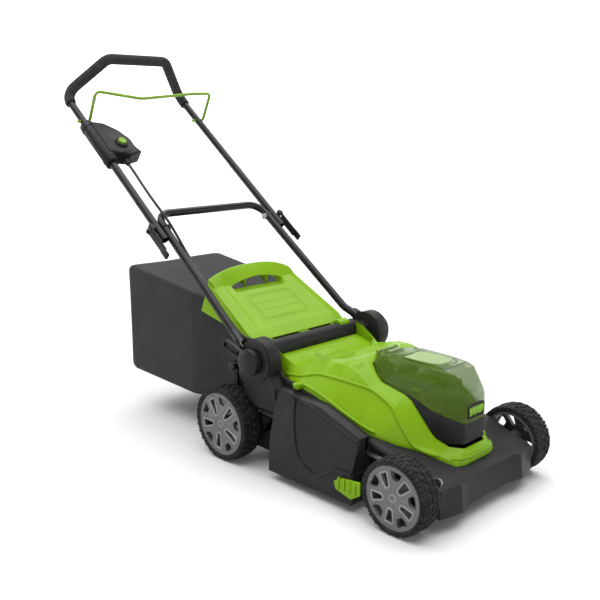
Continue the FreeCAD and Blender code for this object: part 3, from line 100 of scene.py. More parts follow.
class Shader:
    """A Principled material with a short way to add nodes and links."""

    def __init__(self, name, color, roughness, metallic=0.0, **inputs):
        self.material = bpy.data.materials.new(name)
        self.material.use_nodes = True
        self.nodes = self.material.node_tree.nodes
        self.links = self.material.node_tree.links
        self.main = self.nodes["Principled BSDF"]
        self.main.inputs["Base Color"].default_value = (*color, 1)
        self.main.inputs["Roughness"].default_value = roughness
        self.main.inputs["Metallic"].default_value = metallic
        for key, value in inputs.items():
            self.main.inputs[key.replace("_", " ")].default_value = value
        self.coordinates = self.nodes.new("ShaderNodeTexCoord").outputs["Object"]

    def node(self, kind, **settings):
        made = self.nodes.new(kind)
        for key, value in settings.items():
            if key in made.inputs:
                made.inputs[key].default_value = value
            else:
                setattr(made, key, value)
        return made

    def link(self, output, target):
        self.links.new(output, target)

    def noise(self, scale, detail=4.0, roughness=0.55, stretch=None):
        made = self.node("ShaderNodeTexNoise")
        made.inputs["Scale"].default_value = scale
        made.inputs["Detail"].default_value = detail
        made.inputs["Roughness"].default_value = roughness
        source = self.coordinates
        if stretch:
            mapping = self.node("ShaderNodeMapping")
            mapping.inputs["Scale"].default_value = stretch
            self.link(source, mapping.inputs["Vector"])
            source = mapping.outputs["Vector"]
        self.link(source, made.inputs["Vector"])
        return made.outputs["Fac"]

    def ramp(self, source, low, high, start=0.35, end=0.65):
        """Two-colour ramp over part of a source's range."""
        made = self.node("ShaderNodeValToRGB")
        first, last = made.color_ramp.elements
        first.position, last.position = start, end
        first.color, last.color = (*low, 1), (*high, 1)
        self.link(source, made.inputs["Fac"])
        return made.outputs["Color"]

    def tint(self, source, low, high, start=0.35, end=0.65):
        self.link(self.ramp(source, low, high, start, end), self.main.inputs["Base Color"])

    def gloss(self, source, low, high):
        """Roughness that wanders between two values."""
        made = self.node("ShaderNodeMapRange")
        made.inputs["From Min"].default_value = 0.3
        made.inputs["From Max"].default_value = 0.7
        made.inputs["To Min"].default_value = low
        made.inputs["To Max"].default_value = high
        self.link(source, made.inputs["Value"])
        self.link(made.outputs["Result"], self.main.inputs["Roughness"])

    def bump(self, source, strength, distance):
        """Adds a bump on top of the ones already there."""
        made = self.node("ShaderNodeBump")
        made.inputs["Strength"].default_value = strength
        made.inputs["Distance"].default_value = distance
        self.link(source, made.inputs["Height"])
        target = self.main.inputs["Normal"]
        if target.is_linked:
            self.link(target.links[0].from_socket, made.inputs["Normal"])
        self.link(made.outputs["Normal"], target)


def moulded_black(name, shade=0.02, roughness=0.5, grain=1900):
    """Grained polypropylene."""
    shader = Shader(name, (shade, shade * 1.01, shade * 1.06), roughness, Specular_IOR_Level=0.14)
    shader.tint(shader.noise(14, 3), (shade * 0.86,) * 3, (shade * 1.16, shade * 1.16, shade * 1.22))
    shader.gloss(shader.noise(60, 3), roughness - 0.07, roughness + 0.07)
    shader.bump(shader.noise(grain, 2, 0.6), 0.22, 0.0004)
    return shader.material


def moulded_green(name="panel_green"):
    """Satin lime ABS."""
    shader = Shader(name, (0.135, 0.260, 0.003), 0.36, Specular_IOR_Level=0.14)
    shader.tint(shader.noise(9, 3), (0.128, 0.250, 0.002), (0.144, 0.272, 0.004))
    shader.gloss(shader.noise(70, 3), 0.30, 0.40)
    shader.bump(shader.noise(1400, 2, 0.5), 0.06, 0.0003)
    return shader.material


def clear_green(name, color, alpha):
    """Translucent smoked-green polycarbonate."""
    shader = Shader(name, color, 0.07, Alpha=alpha, IOR=1.45, Specular_IOR_Level=0.25)
    shader.tint(shader.noise(8, 2), tuple(c * 0.9 for c in color), tuple(c * 1.1 for c in color))
    shader.gloss(shader.noise(40, 2), 0.05, 0.10)
    shader.bump(shader.noise(25, 2), 0.03, 0.001)
    shader.material.surface_render_method = "BLENDED"
    return shader.material


def tyre_rubber():
    shader = Shader("tyre_black", (0.010, 0.010, 0.0105), 0.7, Specular_IOR_Level=0.15)
    shader.tint(shader.noise(35, 5), (0.007, 0.007, 0.0075), (0.017, 0.0165, 0.016))
    shader.gloss(shader.noise(120, 4), 0.62, 0.82)
    shader.bump(shader.noise(900, 4, 0.65), 0.25, 0.0005)
    return shader.material


def hub_grey(name="hub_grey", shade=0.085):
    """Silver-grey pigmented plastic."""
    shader = Shader(name, (shade, shade * 1.02, shade * 1.06), 0.42, 0.15)
    shader.tint(shader.noise(18, 3), (shade * 0.9, shade * 0.92, shade * 0.96),
                (shade * 1.1, shade * 1.12, shade * 1.17))
    shader.gloss(shader.noise(90, 4), 0.32, 0.46)
    shader.bump(shader.noise(1500, 2), 0.1, 0.0003)
    return shader.material


def powder_coat(name, color, roughness=0.3):
    shader = Shader(name, color, roughness, Specular_IOR_Level=0.22)
    shader.tint(shader.noise(30, 3), tuple(c * 0.85 for c in color), tuple(c * 1.15 for c in color))
    shader.gloss(shader.noise(150, 3), roughness - 0.05, roughness + 0.08)
    shader.bump(shader.noise(1100, 2, 0.4), 0.16, 0.0003)
    return shader.material


def steel(name="bright_steel", color=(0.26, 0.26, 0.27), roughness=0.38):
    shader = Shader(name, color, roughness, 1.0)
    shader.tint(shader.noise(60, 4), tuple(c * 0.8 for c in color), tuple(min(1, c * 1.12) for c in color))
    shader.gloss(shader.noise(200, 4, 0.6, (1, 1, 12)), roughness - 0.1, roughness + 0.14)
    shader.bump(shader.noise(700, 3, 0.6, (8, 1, 1)), 0.08, 0.0003)
    return shader.material


def foam():
    shader = Shader("foam", (0.013, 0.013, 0.014), 0.8, Specular_IOR_Level=0.3)
    shader.tint(shader.noise(60, 4), (0.010, 0.010, 0.011), (0.020, 0.020, 0.022))
    cells = shader.node("ShaderNodeTexVoronoi")
    cells.inputs["Scale"].default_value = 900
    shader.link(shader.coordinates, cells.inputs["Vector"])
    shader.bump(cells.outputs["Distance"], 0.5, 0.0006)
    return shader.material


def cloth(name, dark, light, threads=1500, strength=0.5):
    """Coated woven polyester: crossed threads, faint folds and dust."""
    shader = Shader(name, dark, 0.7, Specular_IOR_Level=0.2, Sheen_Weight=0.04, Sheen_Roughness=0.5)
    shader.tint(shader.noise(11, 5, 0.6), dark, light, 0.3, 0.72)
    total = None
    for direction in ("X", "Y", "Z"):
        wave = shader.node("ShaderNodeTexWave", wave_type="BANDS", bands_direction=direction)
        wave.inputs["Scale"].default_value = threads / math.pi
        wave.inputs["Distortion"].default_value = 0.4
        shader.link(shader.coordinates, wave.inputs["Vector"])
        if total is None:
            total = wave.outputs["Fac"]
            continue
        add = shader.node("ShaderNodeMath", operation="ADD")
        shader.link(total, add.inputs[0])
        shader.link(wave.outputs["Fac"], add.inputs[1])
        total = add.outputs[0]
    shader.bump(total, strength, 0.00035)
    shader.bump(shader.noise(28, 4), 0.25, 0.003)
    return shader.material


MATERIALS = {
    "deck_black": moulded_black("deck_black", 0.0125, 0.46),
    "inner_black": moulded_black("inner_black", 0.009, 0.40, 2400),
    "bag_rim": moulded_black("bag_rim", 0.012, 0.46),
    "panel_green": moulded_green(),
    "button_green": moulded_green("button_green"),
    "lid_green": clear_green("lid_green", (0.075, 0.135, 0.010), 0.40),
    "tyre_black": tyre_rubber(),
    "hub_grey": hub_grey(),
    "tube_black": powder_coat("tube_black", (0.006, 0.006, 0.0065), 0.26),
    "bail_green": powder_coat("bail_green", (0.135, 0.26, 0.008), 0.3),
    "bright_steel": steel(),
    "blade_steel": steel("blade_steel", (0.20, 0.20, 0.21), 0.45),
    "motor_alloy": steel("motor_alloy", (0.45, 0.46, 0.48), 0.5),
    "foam": foam(),
    "bag_cloth": cloth("bag_cloth", (0.0125, 0.0125, 0.013), (0.019, 0.019, 0.0195)),
    "cable_black": moulded_black("cable_black", 0.014, 0.36, 900),
}
LID_PANEL = clear_green("lid_panel", (0.17, 0.27, 0.06), 0.75)
# Lighter copy of the hub grey, used on the hub's raised frames and rim ring: painted highlight.
HUB_PAINTED_HIGHLIGHT = hub_grey("hub_painted_highlight", 0.17)
# Lighter, denser copy of the lid green for the louvre blades: painted highlight.
LOUVRE_PAINTED_HIGHLIGHT = clear_green("louvre", (0.20, 0.38, 0.03), 0.9)
slot_of = {entry["node"]: entry["material_slot"] for entry in record["subparts"]}


def dress(obj, slot):
    repaint(obj, MATERIALS[slot])


def repaint(obj, material):
    obj.data.materials.clear()
    obj.data.materials.append(material)


for name, obj in frame["nodes"].items():
    dress(obj, slot_of[name])


# --------------------------------------------------------------- mesh tools

body_of = {name: obj["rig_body"] for name, obj in frame["nodes"].items()}


def added(name, mesh, body, slot, *replaced):
    """Puts a mesh, or a bmesh, in the scene as a piece of a body."""
    if isinstance(mesh, bmesh.types.BMesh):
        made = bpy.data.meshes.new(name)
        bmesh.ops.recalc_face_normals(mesh, faces=mesh.faces)
        mesh.to_mesh(made)
        mesh.free()
        mesh = made
    obj = bpy.data.objects.new(name, mesh)
    bpy.context.scene.collection.objects.link(obj)
    for polygon in mesh.polygons:
        polygon.use_smooth = True
    dress(obj, slot)
    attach(obj, body)
    if replaced:
        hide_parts(*replaced)
    return obj


def rounded_edges(obj, width, segments=2, angle=26):
    """Small radius on every sharp edge, with shading that keeps the flats flat."""
    bevel = obj.modifiers.new("edges", "BEVEL")
    bevel.width = width * MM
    bevel.segments = segments
    bevel.limit_method = "ANGLE"
    bevel.angle_limit = math.radians(angle)
    bevel.harden_normals = True
    return obj


def softened(name, width, segments=2, angle=26):
    """Copy of a CAD node with its sharp edges rounded, shown in its place."""
    mesh = bmesh.new()
    mesh.from_mesh(frame["nodes"][name].data)
    bmesh.ops.remove_doubles(mesh, verts=mesh.verts, dist=2e-6)
    bmesh.ops.dissolve_limit(mesh, angle_limit=math.radians(0.6), verts=mesh.verts, edges=mesh.edges)
    obj = added(name + "_finish", mesh, body_of[name], slot_of[name], name)
    return rounded_edges(obj, width, segments, angle)


def tree_of(name):
    mesh = bmesh.new()
    mesh.from_mesh(frame["nodes"][name].data)
    tree = BVHTree.FromBMesh(mesh)
    mesh.free()
    return tree


def spaced(points, step, closed=False, passes=6):
    """The same line with a point every step millimetres and its corners eased."""
    line = []
    pairs = list(zip(points, points[1:] + points[:1] if closed else points[1:]))
    for start, end in pairs:
        count = max(1, round((end - start).length / (step * MM)))
        line += [start.lerp(end, index / count) for index in range(count)]
    if not closed:
        line.append(points[-1])
    for _ in range(passes):
        eased = [(line[index - 1] + line[index] * 2 + line[(index + 1) % len(line)]) / 4
                 for index in range(len(line))]
        line = eased if closed else [line[0], *eased[1:-1], line[-1]]
    return line


def laid_on(tree, line, direction):
    """Drops a line along a direction onto a surface: (point, normal) pairs."""
    direction = Vector(direction).normalized()
    laid = []
    for point in line:
        hit, normal, _, _ = tree.ray_cast(point - direction * 0.4, direction)
        if hit is not None:
            laid.append((hit, normal if normal.dot(direction) < 0 else -normal))
    return laid


def bead(name, line, width, height, body, slot, closed=False):
    """Raised moulded line along (point, normal) pairs."""
    mesh = bmesh.new()
    profile = ((-0.5, -0.5), (-0.46, 0.5), (-0.2, 1.0), (0.2, 1.0), (0.46, 0.5), (0.5, -0.5))
    rows = []
    last = len(line) - 1
    for index, (point, normal) in enumerate(line):
        before = line[index - 1 if closed or index else 0][0]
        after = line[(index + 1) % len(line) if closed else min(index + 1, last)][0]
        side = (after - before).cross(normal).normalized()
        rows.append([mesh.verts.new(point + side * (width * across * MM) + normal * (height * rise * MM))
                     for across, rise in profile])
    if closed:
        rows.append(rows[0])
    for near, far in zip(rows, rows[1:]):
        for first, second in zip(range(len(profile)), range(1, len(profile))):
            mesh.faces.new((near[first], near[second], far[second], far[first]))
        mesh.faces.new((near[-1], near[0], far[0], far[-1]))
    if not closed:
        mesh.faces.new(rows[0])
        mesh.faces.new(rows[-1])
    return rounded_edges(added(name, mesh, body, slot), 0.4, 1, 50)


def lathed(name, profile, centre, body, slot, *replaced, steps=96):
    """Turned piece about X: profile holds (x, radius) in millimetres from a centre."""
    mesh = bmesh.new()
    rings = []
    for x, radius in profile:
        if radius == 0:
            rings.append([mesh.verts.new(centre + Vector((x * MM, 0, 0)))])
            continue
        ring = []
        for step in range(steps):
            angle = math.tau * step / steps
            ring.append(mesh.verts.new(centre + Vector((x, radius * math.cos(angle),
                                                        radius * math.sin(angle))) * MM))
        rings.append(ring)
    for near, far in zip(rings, rings[1:]):
        for step in range(steps):
            after = (step + 1) % steps
            corners = [near[step % len(near)], near[after % len(near)], far[after % len(far)],
                       far[step % len(far)]]
            mesh.faces.new(list(dict.fromkeys(corners)))
    return rounded_edges(added(name, mesh, body, slot, *replaced), 0.5, 2, 30)


# ------------------------------------------------------------------- wheels

def tread_block(mesh, centre, corners, sole, crown):
    """One rubber block: corners are (angle, across) pairs, from sole to crown radius."""
    middle_angle = sum(angle for angle, _ in corners) / len(corners)
    middle_across = sum(across for _, across in corners) / len(corners)

    def ring(radius, shrink):
        made = []
        for angle, across in corners:
            turned = middle_angle + (angle - middle_angle) * shrink
            x = middle_across + (across - middle_across) * shrink
            drop = 2.4 * max(0.0, (abs(x) - 12) / 16) ** 1.6
            reach = radius - drop
            made.append(mesh.verts.new(
                centre + Vector((x, reach * math.cos(turned), reach * math.sin(turned))) * MM))
        return made

    rows = [ring(sole, 1.0), ring(crown - 0.8, 1.0), ring(crown, 0.9)]
    for near, far in zip(rows, rows[1:]):
        for index in range(len(corners)):
            after = (index + 1) % len(corners)
            mesh.faces.new((near[index], near[after], far[after], far[index]))
    mesh.faces.new(rows[-1])
    mesh.faces.new(list(reversed(rows[0])))


def tyre(name):
    """Tyre with a zigzag of angular blocks and shoulder lugs that wrap over the edge."""
    node = f"tyre_{name}"
    low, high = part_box(node)
    radius = (high.z - low.z) / MM / 2
    half = (high.x - low.x) / MM / 2
    centre = (low + high) / 2
    rim = 65.5 if name.startswith("front") else 74.5
    body = body_of[node]
    side = 3.2
    lathed(node + "_carcass", [
        (-half + 3, rim), (-half + 0.6, rim + 2.5), (-half, rim + 4), (-half + 1.2, radius - 7),
        (-half + side + 2, radius - 3.8), (-half + 14, radius - 2.6), (half - 14, radius - 2.6),
        (half - side - 2, radius - 3.8), (half - 1.2, radius - 7), (half, rim + 4), (half - 0.6, rim + 2.5),
        (half - 3, rim), (-half + 3, rim)], centre, body, "tyre_black", node)
    mesh = bmesh.new()
    count = 26 if name.startswith("front") else 30
    pitch = math.tau / count
    for index in range(count):
        angle = index * pitch
        lean = 0.20 * pitch
        for turn, flip in ((0.0, 1), (pitch / 2, -1)):
            start = angle + turn
            centre_block = [(start + lean, 1.0), (start + 0.42 * pitch, 1.0), (start + 0.60 * pitch, 6.5),
                            (start + 0.44 * pitch, 13.2), (start + 0.02 * pitch, 13.2),
                            (start - 0.04 * pitch, 5.5)]
            tread_block(mesh, centre, [(a, flip * x) for a, x in centre_block], radius - 4, radius)
            shoulder = [(start - 0.02 * pitch, 15.0), (start + 0.40 * pitch, 15.0),
                        (start + 0.52 * pitch, 20.0),
                        (start + 0.50 * pitch, half - 0.5), (start + 0.06 * pitch, half - 0.5),
                        (start + 0.02 * pitch, 20.0)]
            tread_block(mesh, centre, [(a, flip * x) for a, x in shoulder], radius - 8, radius)
            gap_lug = [(start + 0.58 * pitch, 16.5), (start + 0.90 * pitch, 15.0),
                       (start + 0.96 * pitch, 21.0),
                       (start + 0.92 * pitch, half - 1.6), (start + 0.58 * pitch, half - 1.6)]
            tread_block(mesh, centre, [(a, flip * x) for a, x in gap_lug], radius - 8, radius - 0.5)
    added(node + "_tread", mesh, body, "tyre_black")


def hub(name):
    """Moulded wheel disc: rounded windows, raised frames on every other one, a centre cap."""
    node = f"hub_{name}"
    softened(node, 1.1, 3)
    low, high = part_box(node)
    centre = (low + high) / 2
    outward = 1 if centre.x > 0 else -1
    face = (high.x if outward > 0 else low.x) / MM - centre.x / MM
    body = body_of[node]
    seat = (high.z - low.z) / MM / 2
    for step in range(5):
        turn = math.radians(72 * step + HUB_TURN)
        near, far, spread = 24.0, seat - 14, 9.0
        narrow = spread * near / far
        window = [(-narrow, near), (narrow, near), (spread, far), (-spread, far)]
        grown = [(-narrow - 3.2, near - 3.4), (narrow + 3.2, near - 3.4), (spread + 3.4, far + 3.2),
                 (-spread - 3.4, far + 3.2)]
        line = []
        for (a, b), (c, e) in zip(window, grown):
            y, z = (a + c) / 2, (b + e) / 2
            line.append(centre + Vector((face - outward * 2 * (z - 22) / (seat - 30),
                                         y * math.cos(turn) - z * math.sin(turn),
                                         y * math.sin(turn) + z * math.cos(turn))) * MM)
        smooth = spaced(line, 2.2, True, 3)
        frame_bead = bead(f"{node}_frame_{step}", [(point, Vector((outward, 0, 0))) for point in smooth],
                          4.4, 1.6,
                          body, "hub_grey", True)
        # frames painted lighter than the disc: painted highlight
        repaint(frame_bead, HUB_PAINTED_HIGHLIGHT)
    ring = [(face - outward * 4.2, seat - 7.5), (face - outward * 1.6, seat - 6.5),
            (face - outward * 1.4, seat - 2.5),
            (face - outward * 4.2, seat - 1.2), (face - outward * 4.2, seat - 7.5)]
    # rim ring painted lighter than the disc: painted highlight
    repaint(lathed(node + "_rim", ring, centre, body, "hub_grey"), HUB_PAINTED_HIGHLIGHT)
    cap = [(face - outward * 2.9, 0), (face - outward * 2.9, 1.5), (face - outward * 1.4, 2.4),
           (face - outward * 1.2, 5.0), (face - outward * 2.0, 6.2), (face - outward * 1.9, 9.0),
           (face - outward * 1.2, 10.4), (face - outward * 1.3, 13.6), (face - outward * 3.4, 13.6)]
    lathed(node + "_cap", cap, centre, body, "hub_grey")


for corner in WHEELS:
    tyre(corner)
    hub(corner)


# ---------------------------------------------------------- rigid mouldings

EDGES = {
    "deck_shell": 2.2, "motor_cover": 1.8, "battery_tray": 1.2, "battery_lid": 1.3, "pivot_tower_left": 2.5,
    "pivot_tower_right": 2.5, "bridge_clip": 1.0, "grass_combs": 0.9, "cam_lever_left": 1.0,
    "cam_lever_right": 1.0, "pivot_lever_left": 1.4, "pivot_lever_right": 1.4, "switch_shell_upper": 1.6,
    "switch_shell_lower": 1.6, "bag_frame": 1.5, "height_lever": 0.8, "clamp_saddles": 1.0,
         "clamp_bolts": 0.7,
    "pivot_discs": 1.2, "terminal_block": 0.8, "battery_left": 2.5, "battery_right": 2.5, "motor_can": 1.5,
    "blade_carrier": 1.0, "blade": 0.5, "blade_bolt": 0.6, "strain_relief": 0.6, "front_axle_nuts": 0.5,
    "rear_axle_nuts": 0.5, "foam_grip": 4.0,
}
finished = {name: softened(name, width) for name, width in EDGES.items()}


# --------------------------------------------------- lines on the mouldings

def bonnet_lines():
    """Rail along the bonnet's foot, the crease above it, its lip and the facets before the bridge."""
    tree = tree_of("motor_cover")
    for side in (-1, 1):
        inward = (-side, 0, -0.25)
        label = "right" if side < 0 else "left"
        foot = [at(side * 200, y, z) for y, z in
                ((62, 222), (10, 214), (-36, 198), (-65, 187), (-100, 168), (-140, 156))]
        line = laid_on(tree, spaced(foot, 5), (-side, 0, 0))
        bead(f"bonnet_rail_{label}", line, 8.0, 4.0, "chassis", "panel_green")
        crease = [at(side * x, y, z) for x, y, z in
                  ((148, 120, 226), (153, 70, 232), (141, 28, 245), (133, -38, 243.5), (116, -98, 234.5),
                   (113, -140, 218.5), (113.5, -160, 208), (115, -186, 172), (113, -211, 136),
                   (95, -244, 123),
                   (84, -258, 121))]
        line = laid_on(tree, spaced(crease, 5, passes=8), inward)
        bead(f"bonnet_crease_{label}", line, 7.5, 3.2, "chassis", "panel_green")
    strips = {
        "spine": ((-50, -38, -16, 16, 38, 50), (150, 132, 112, 70, 34, 8, -14), (0, 8.5, 10.5, 10.5, 8.5, 0)),
        "facet_right": ((-112, -104, -78, -66), (104, 86, 50, 26, 6), (0, 6.5, 4.5, 0)),
        "facet_left": ((66, 78, 104, 112), (104, 86, 50, 26, 6), (0, 4.5, 6.5, 0)),
        "brow_right": ((-112, -106, -84, -76), (-12, -24, -48, -62), (0, 4.0, 3.0, 0)),
        "brow_left": ((76, 84, 106, 112), (-12, -24, -48, -62), (0, 3.0, 4.0, 0)),
    }
    for name, (across, places, lifts) in strips.items():
        mesh = bmesh.new()
        rows = []
        for index, y in enumerate(places):
            end = index in (0, len(places) - 1)
            pinch = 0.72 if index == len(places) - 1 else 1.0
            middle = sum(across) / len(across)
            row = []
            for x, lift in zip(across, lifts):
                place = at(middle + (x - middle) * pinch, y, 400)
                hit = tree.ray_cast(place, Vector((0, 0, -1)))[0]
                rise = -1.5 if end or lift == 0 else lift
                row.append(mesh.verts.new((hit if hit is not None else place - Vector((0, 0, 150 * MM)))
                                          + Vector((0, 0, rise * MM))))
            rows.append(row)
        for near, far in zip(rows, rows[1:]):
            for first in range(len(across) - 1):
                mesh.faces.new((near[first], near[first + 1], far[first + 1], far[first]))
        rounded_edges(added(f"bonnet_{name}", mesh, "chassis", "panel_green"), 1.6, 3, 8)
    lip = [at(x, -340, 115) for x in (-70, -50, -20, 20, 50, 70)]
    bead("bonnet_lip", laid_on(tree, spaced(lip, 5), (0, 1, 0)), 5.5, 3.4, "chassis", "panel_green")


def deck_lines():
    """Raised edge round the skirts' recess, and the ledge below the bonnet."""
    tree = tree_of("deck_shell")
    for side in (-1, 1):
        label = "right" if side < 0 else "left"
        contour = [at(side * 260, y, z) for y, z in
                   ((44, 196), (44, 165), (31, 118), (19, 88), (3, 64), (-41, 46), (-96, 82), (-142, 84))]
        line = laid_on(tree, spaced(contour, 6, passes=10), (-side, 0, 0))
        bead(f"skirt_contour_{label}", line, 9.0, 2.6, "chassis", "deck_black")
        ledge = [at(side * 260, y, z) for y, z in
                 ((50, 203), (10, 194), (-36, 180), (-80, 167), (-110, 156), (-138, 147))]
        line = laid_on(tree, spaced(ledge, 6, passes=10), (-side, 0, 0))
        bead(f"skirt_ledge_{label}", line, 6.0, 2.2, "chassis", "deck_black")


bonnet_lines()
deck_lines()


# ------------------------------------------------------------- grass bag

BAG = ((310.4, 137, 122, 318), (372.4, 141, 100, 352), (462.4, 156, 94, 362), (738.4, 158, 106, 400))
BAG_SIDE, BAG_CORNER = 18, 5
# how far the floor, left side, top and right side sink inward, mm; the floor bulges
BAG_SAG = (-3.5, 4.5, 11.0, 4.5)


def bag_size(y):
    """Half width, foot and top of the bag's section at a place along it, in millimetres."""
    for (start, *first), (end, *last) in zip(BAG, BAG[1:]):
        if y <= end or end == BAG[-1][0]:
            share = min(1.0, (y - start) / (end - start))
            return [a + (b - a) * share for a, b in zip(first, last)]


def bag_ring(y, inset, corner):
    """Points round the bag at y: pulled-in panels between rounded corners."""
    half, low, high = bag_size(y)
    half, low, high = half - inset, low + inset, high - inset
    along = (y - BAG[0][0]) / (BAG[-1][0] - BAG[0][0])
    centres = [(half - corner, low + corner, -90), (half - corner, high - corner, 0),
               (corner - half, high - corner, 90), (corner - half, low + corner, 180)]
    ring = []
    for index, (x, z, start) in enumerate(centres):
        arc = [(x + corner * math.cos(math.radians(start + 90 * step / BAG_CORNER)),
                z + corner * math.sin(math.radians(start + 90 * step / BAG_CORNER)))
               for step in range(BAG_CORNER + 1)]
        ring += arc
        after_x, after_z, turn = centres[(index + 1) % 4]
        target = (after_x + corner * math.cos(math.radians(turn)),
                  after_z + corner * math.sin(math.radians(turn)))
        panel = (index + 1) % 4
        inward = ((0, 1), (-1, 0), (0, -1), (1, 0))[panel]
        for step in range(1, BAG_SIDE):
            share = step / BAG_SIDE
            belly = math.sin(math.pi * share) ** 0.8 * math.sin(math.pi * min(1, max(0, along))) ** 0.7
            fold = (math.sin(9.0 * along + 5.0 * share + panel) * 0.9
                    + math.sin(21.0 * along - 8.0 * share + 2.1 * panel) * 0.5) * math.sin(math.pi * share)
            depth = BAG_SAG[panel] * belly + fold
            x0 = arc[-1][0] + (target[0] - arc[-1][0]) * share + inward[0] * depth
            z0 = arc[-1][1] + (target[1] - arc[-1][1]) * share + inward[1] * depth
            ring.append((x0, z0))
    return [at(x, y, z) for x, z in ring]


def grass_bag():
    """Sewn shell open at the mouth, with its panels sagging between the seams."""
    start, end, round_off = BAG[0][0], BAG[-1][0], 14.0
    mesh = bmesh.new()
    rows = []
    count = 44
    for index in range(count + 1):
        y = start + (end - round_off - start) * index / count
        rows.append(bag_ring(y, 0, 14))
    for step in range(1, 5):
        angle = math.radians(22.5 * step)
        rows.append(bag_ring(end - round_off + round_off * math.sin(angle),
                             round_off * (1 - math.cos(angle)), 13))
    middle = sum(rows[-1], Vector()) / len(rows[-1])
    for share in (0.85, 0.68, 0.5, 0.3, 0.12):
        swell = Vector((0, 6.0 * (1 - share ** 2), 0)) * MM
        rows.append([middle.lerp(point, share) + swell for point in rows[count + 4]])
    rings = [[mesh.verts.new(point) for point in row] for row in rows]
    for near, far in zip(rings, rings[1:]):
        for index in range(len(near)):
            after = (index + 1) % len(near)
            mesh.faces.new((near[index], near[after], far[after], far[index]))
    mesh.faces.new(rings[-1])
    bag = added("bag_shell", mesh, "bag", "bag_cloth", "grass_bag")
    thick = bag.modifiers.new("cloth", "SOLIDIFY")
    thick.thickness = 1.6 * MM
    thick.offset = -1.0
    side = BAG_CORNER + BAG_SIDE
    seams = []
    for index in range(4):
        spot = index * side + BAG_CORNER // 2 + (1 if index % 2 else 0)
        line = [rows[row][spot] for row in range(count + 1)]
        centre = Vector((0, 0, 0.24))
        seams.append([(point, Vector((point.x, 0, point.z - centre.z)).normalized()) for point in line])
    trims = [bead(f"bag_seam_{index}", line, 4.5, 1.3, "bag", "bag_cloth") for index,
             line in enumerate(seams)]
    rear = [(point, (point - middle).normalized() * 0.7 + Vector((0, 0.7, 0))) for point in rows[count + 2]]
    trims.append(bead("bag_piping_rear", rear, 4.5, 1.6, "bag", "bag_cloth", True))
    mouth = [(point, Vector((point.x, 0, point.z - 0.24)).normalized()) for point in rows[1]]
    trims.append(bead("bag_binding", mouth, 11.0, 1.2, "bag", "bag_rim", True))


grass_bag()


# ------------------------------------------------------------------ flap

FLAP_FRONT, FLAP_REAR = 242.0, 414.5


def flap_height(y):
    return 300 + (y - FLAP_FRONT) * 100.5 / (FLAP_REAR - FLAP_FRONT)


def flap_point(u, y):
    """Place on the flap's plate, u from -1 to 1 across it.

    The margins fall away, and the panel is scooped under the handle.
    """
    v = (y - FLAP_FRONT) / (FLAP_REAR - FLAP_FRONT)
    half = 157.5 + (137 - 157.5) * max(v, 0)
    if y < FLAP_FRONT:
        share = (FLAP_FRONT - y) / 26
        half = 157.5 - 7 * share
        base = 300 - 17 * share
    else:
        base = flap_height(y)
    margin = min(1.0, max(0.0, (1 - abs(u)) / 0.16))
    panel = min(1.0, max(0.0, (0.78 - abs(u)) / 0.02)) * min(1.0, max(0.0, (v - 0.03) / 0.03))
    scoop = min(1.0, max(0.0, (0.62 - abs(u)) / 0.05)) * min(1.0, max(0.0, (v - 0.68) / 0.12))
    return (half * u, y, base - 4.5 * (1 - margin) - 1.4 * panel - 15.0 * scoop)


def flap_shell():
    across, rows = 96, 56
    mesh = bmesh.new()
    grid = []
    for row in range(rows + 1):
        y = 216 + (FLAP_REAR - 3 - 216) * row / rows
        share = min(1.0, max(0.0, (y - FLAP_FRONT) / (FLAP_REAR - FLAP_FRONT)))
        side_half = 161.5 - (11 * (FLAP_FRONT - y) / 26 if y < FLAP_FRONT else 0)
        side_foot = 288 + 38 * share - (9 * (FLAP_FRONT - y) / 26 if y < FLAP_FRONT else 0)
        line = [flap_point(-1 + 2 * index / across, y) for index in range(across + 1)]
        left = line[0]
        cheeks = [(-side_half, y, side_foot), ((left[0] - side_half) / 2, y, (side_foot + left[2]) / 2)]
        line = cheeks + line + [(-cheeks[1][0], y, cheeks[1][2]), (side_half, y, side_foot)]
        grid.append([mesh.verts.new(at(*point)) for point in line])
    last = len(grid[0]) - 1
    for row in range(rows):
        y = 216 + (FLAP_REAR - 3 - 216) * (row + 0.5) / rows
        for index in range(last):
            u = -1 + 2 * (index - 1.5) / across
            if y > 392 and abs(u) < 0.56:
                continue
            mesh.faces.new((grid[row][index], grid[row][index + 1], grid[row + 1][index + 1],
                            grid[row + 1][index]))
    shell = added("flap_shell", mesh, "flap", "panel_green", "rear_flap")
    thick = shell.modifiers.new("wall", "SOLIDIFY")
    thick.thickness = 3.2 * MM
    thick.offset = -1.0
    rounded_edges(shell, 1.2, 2, 24)


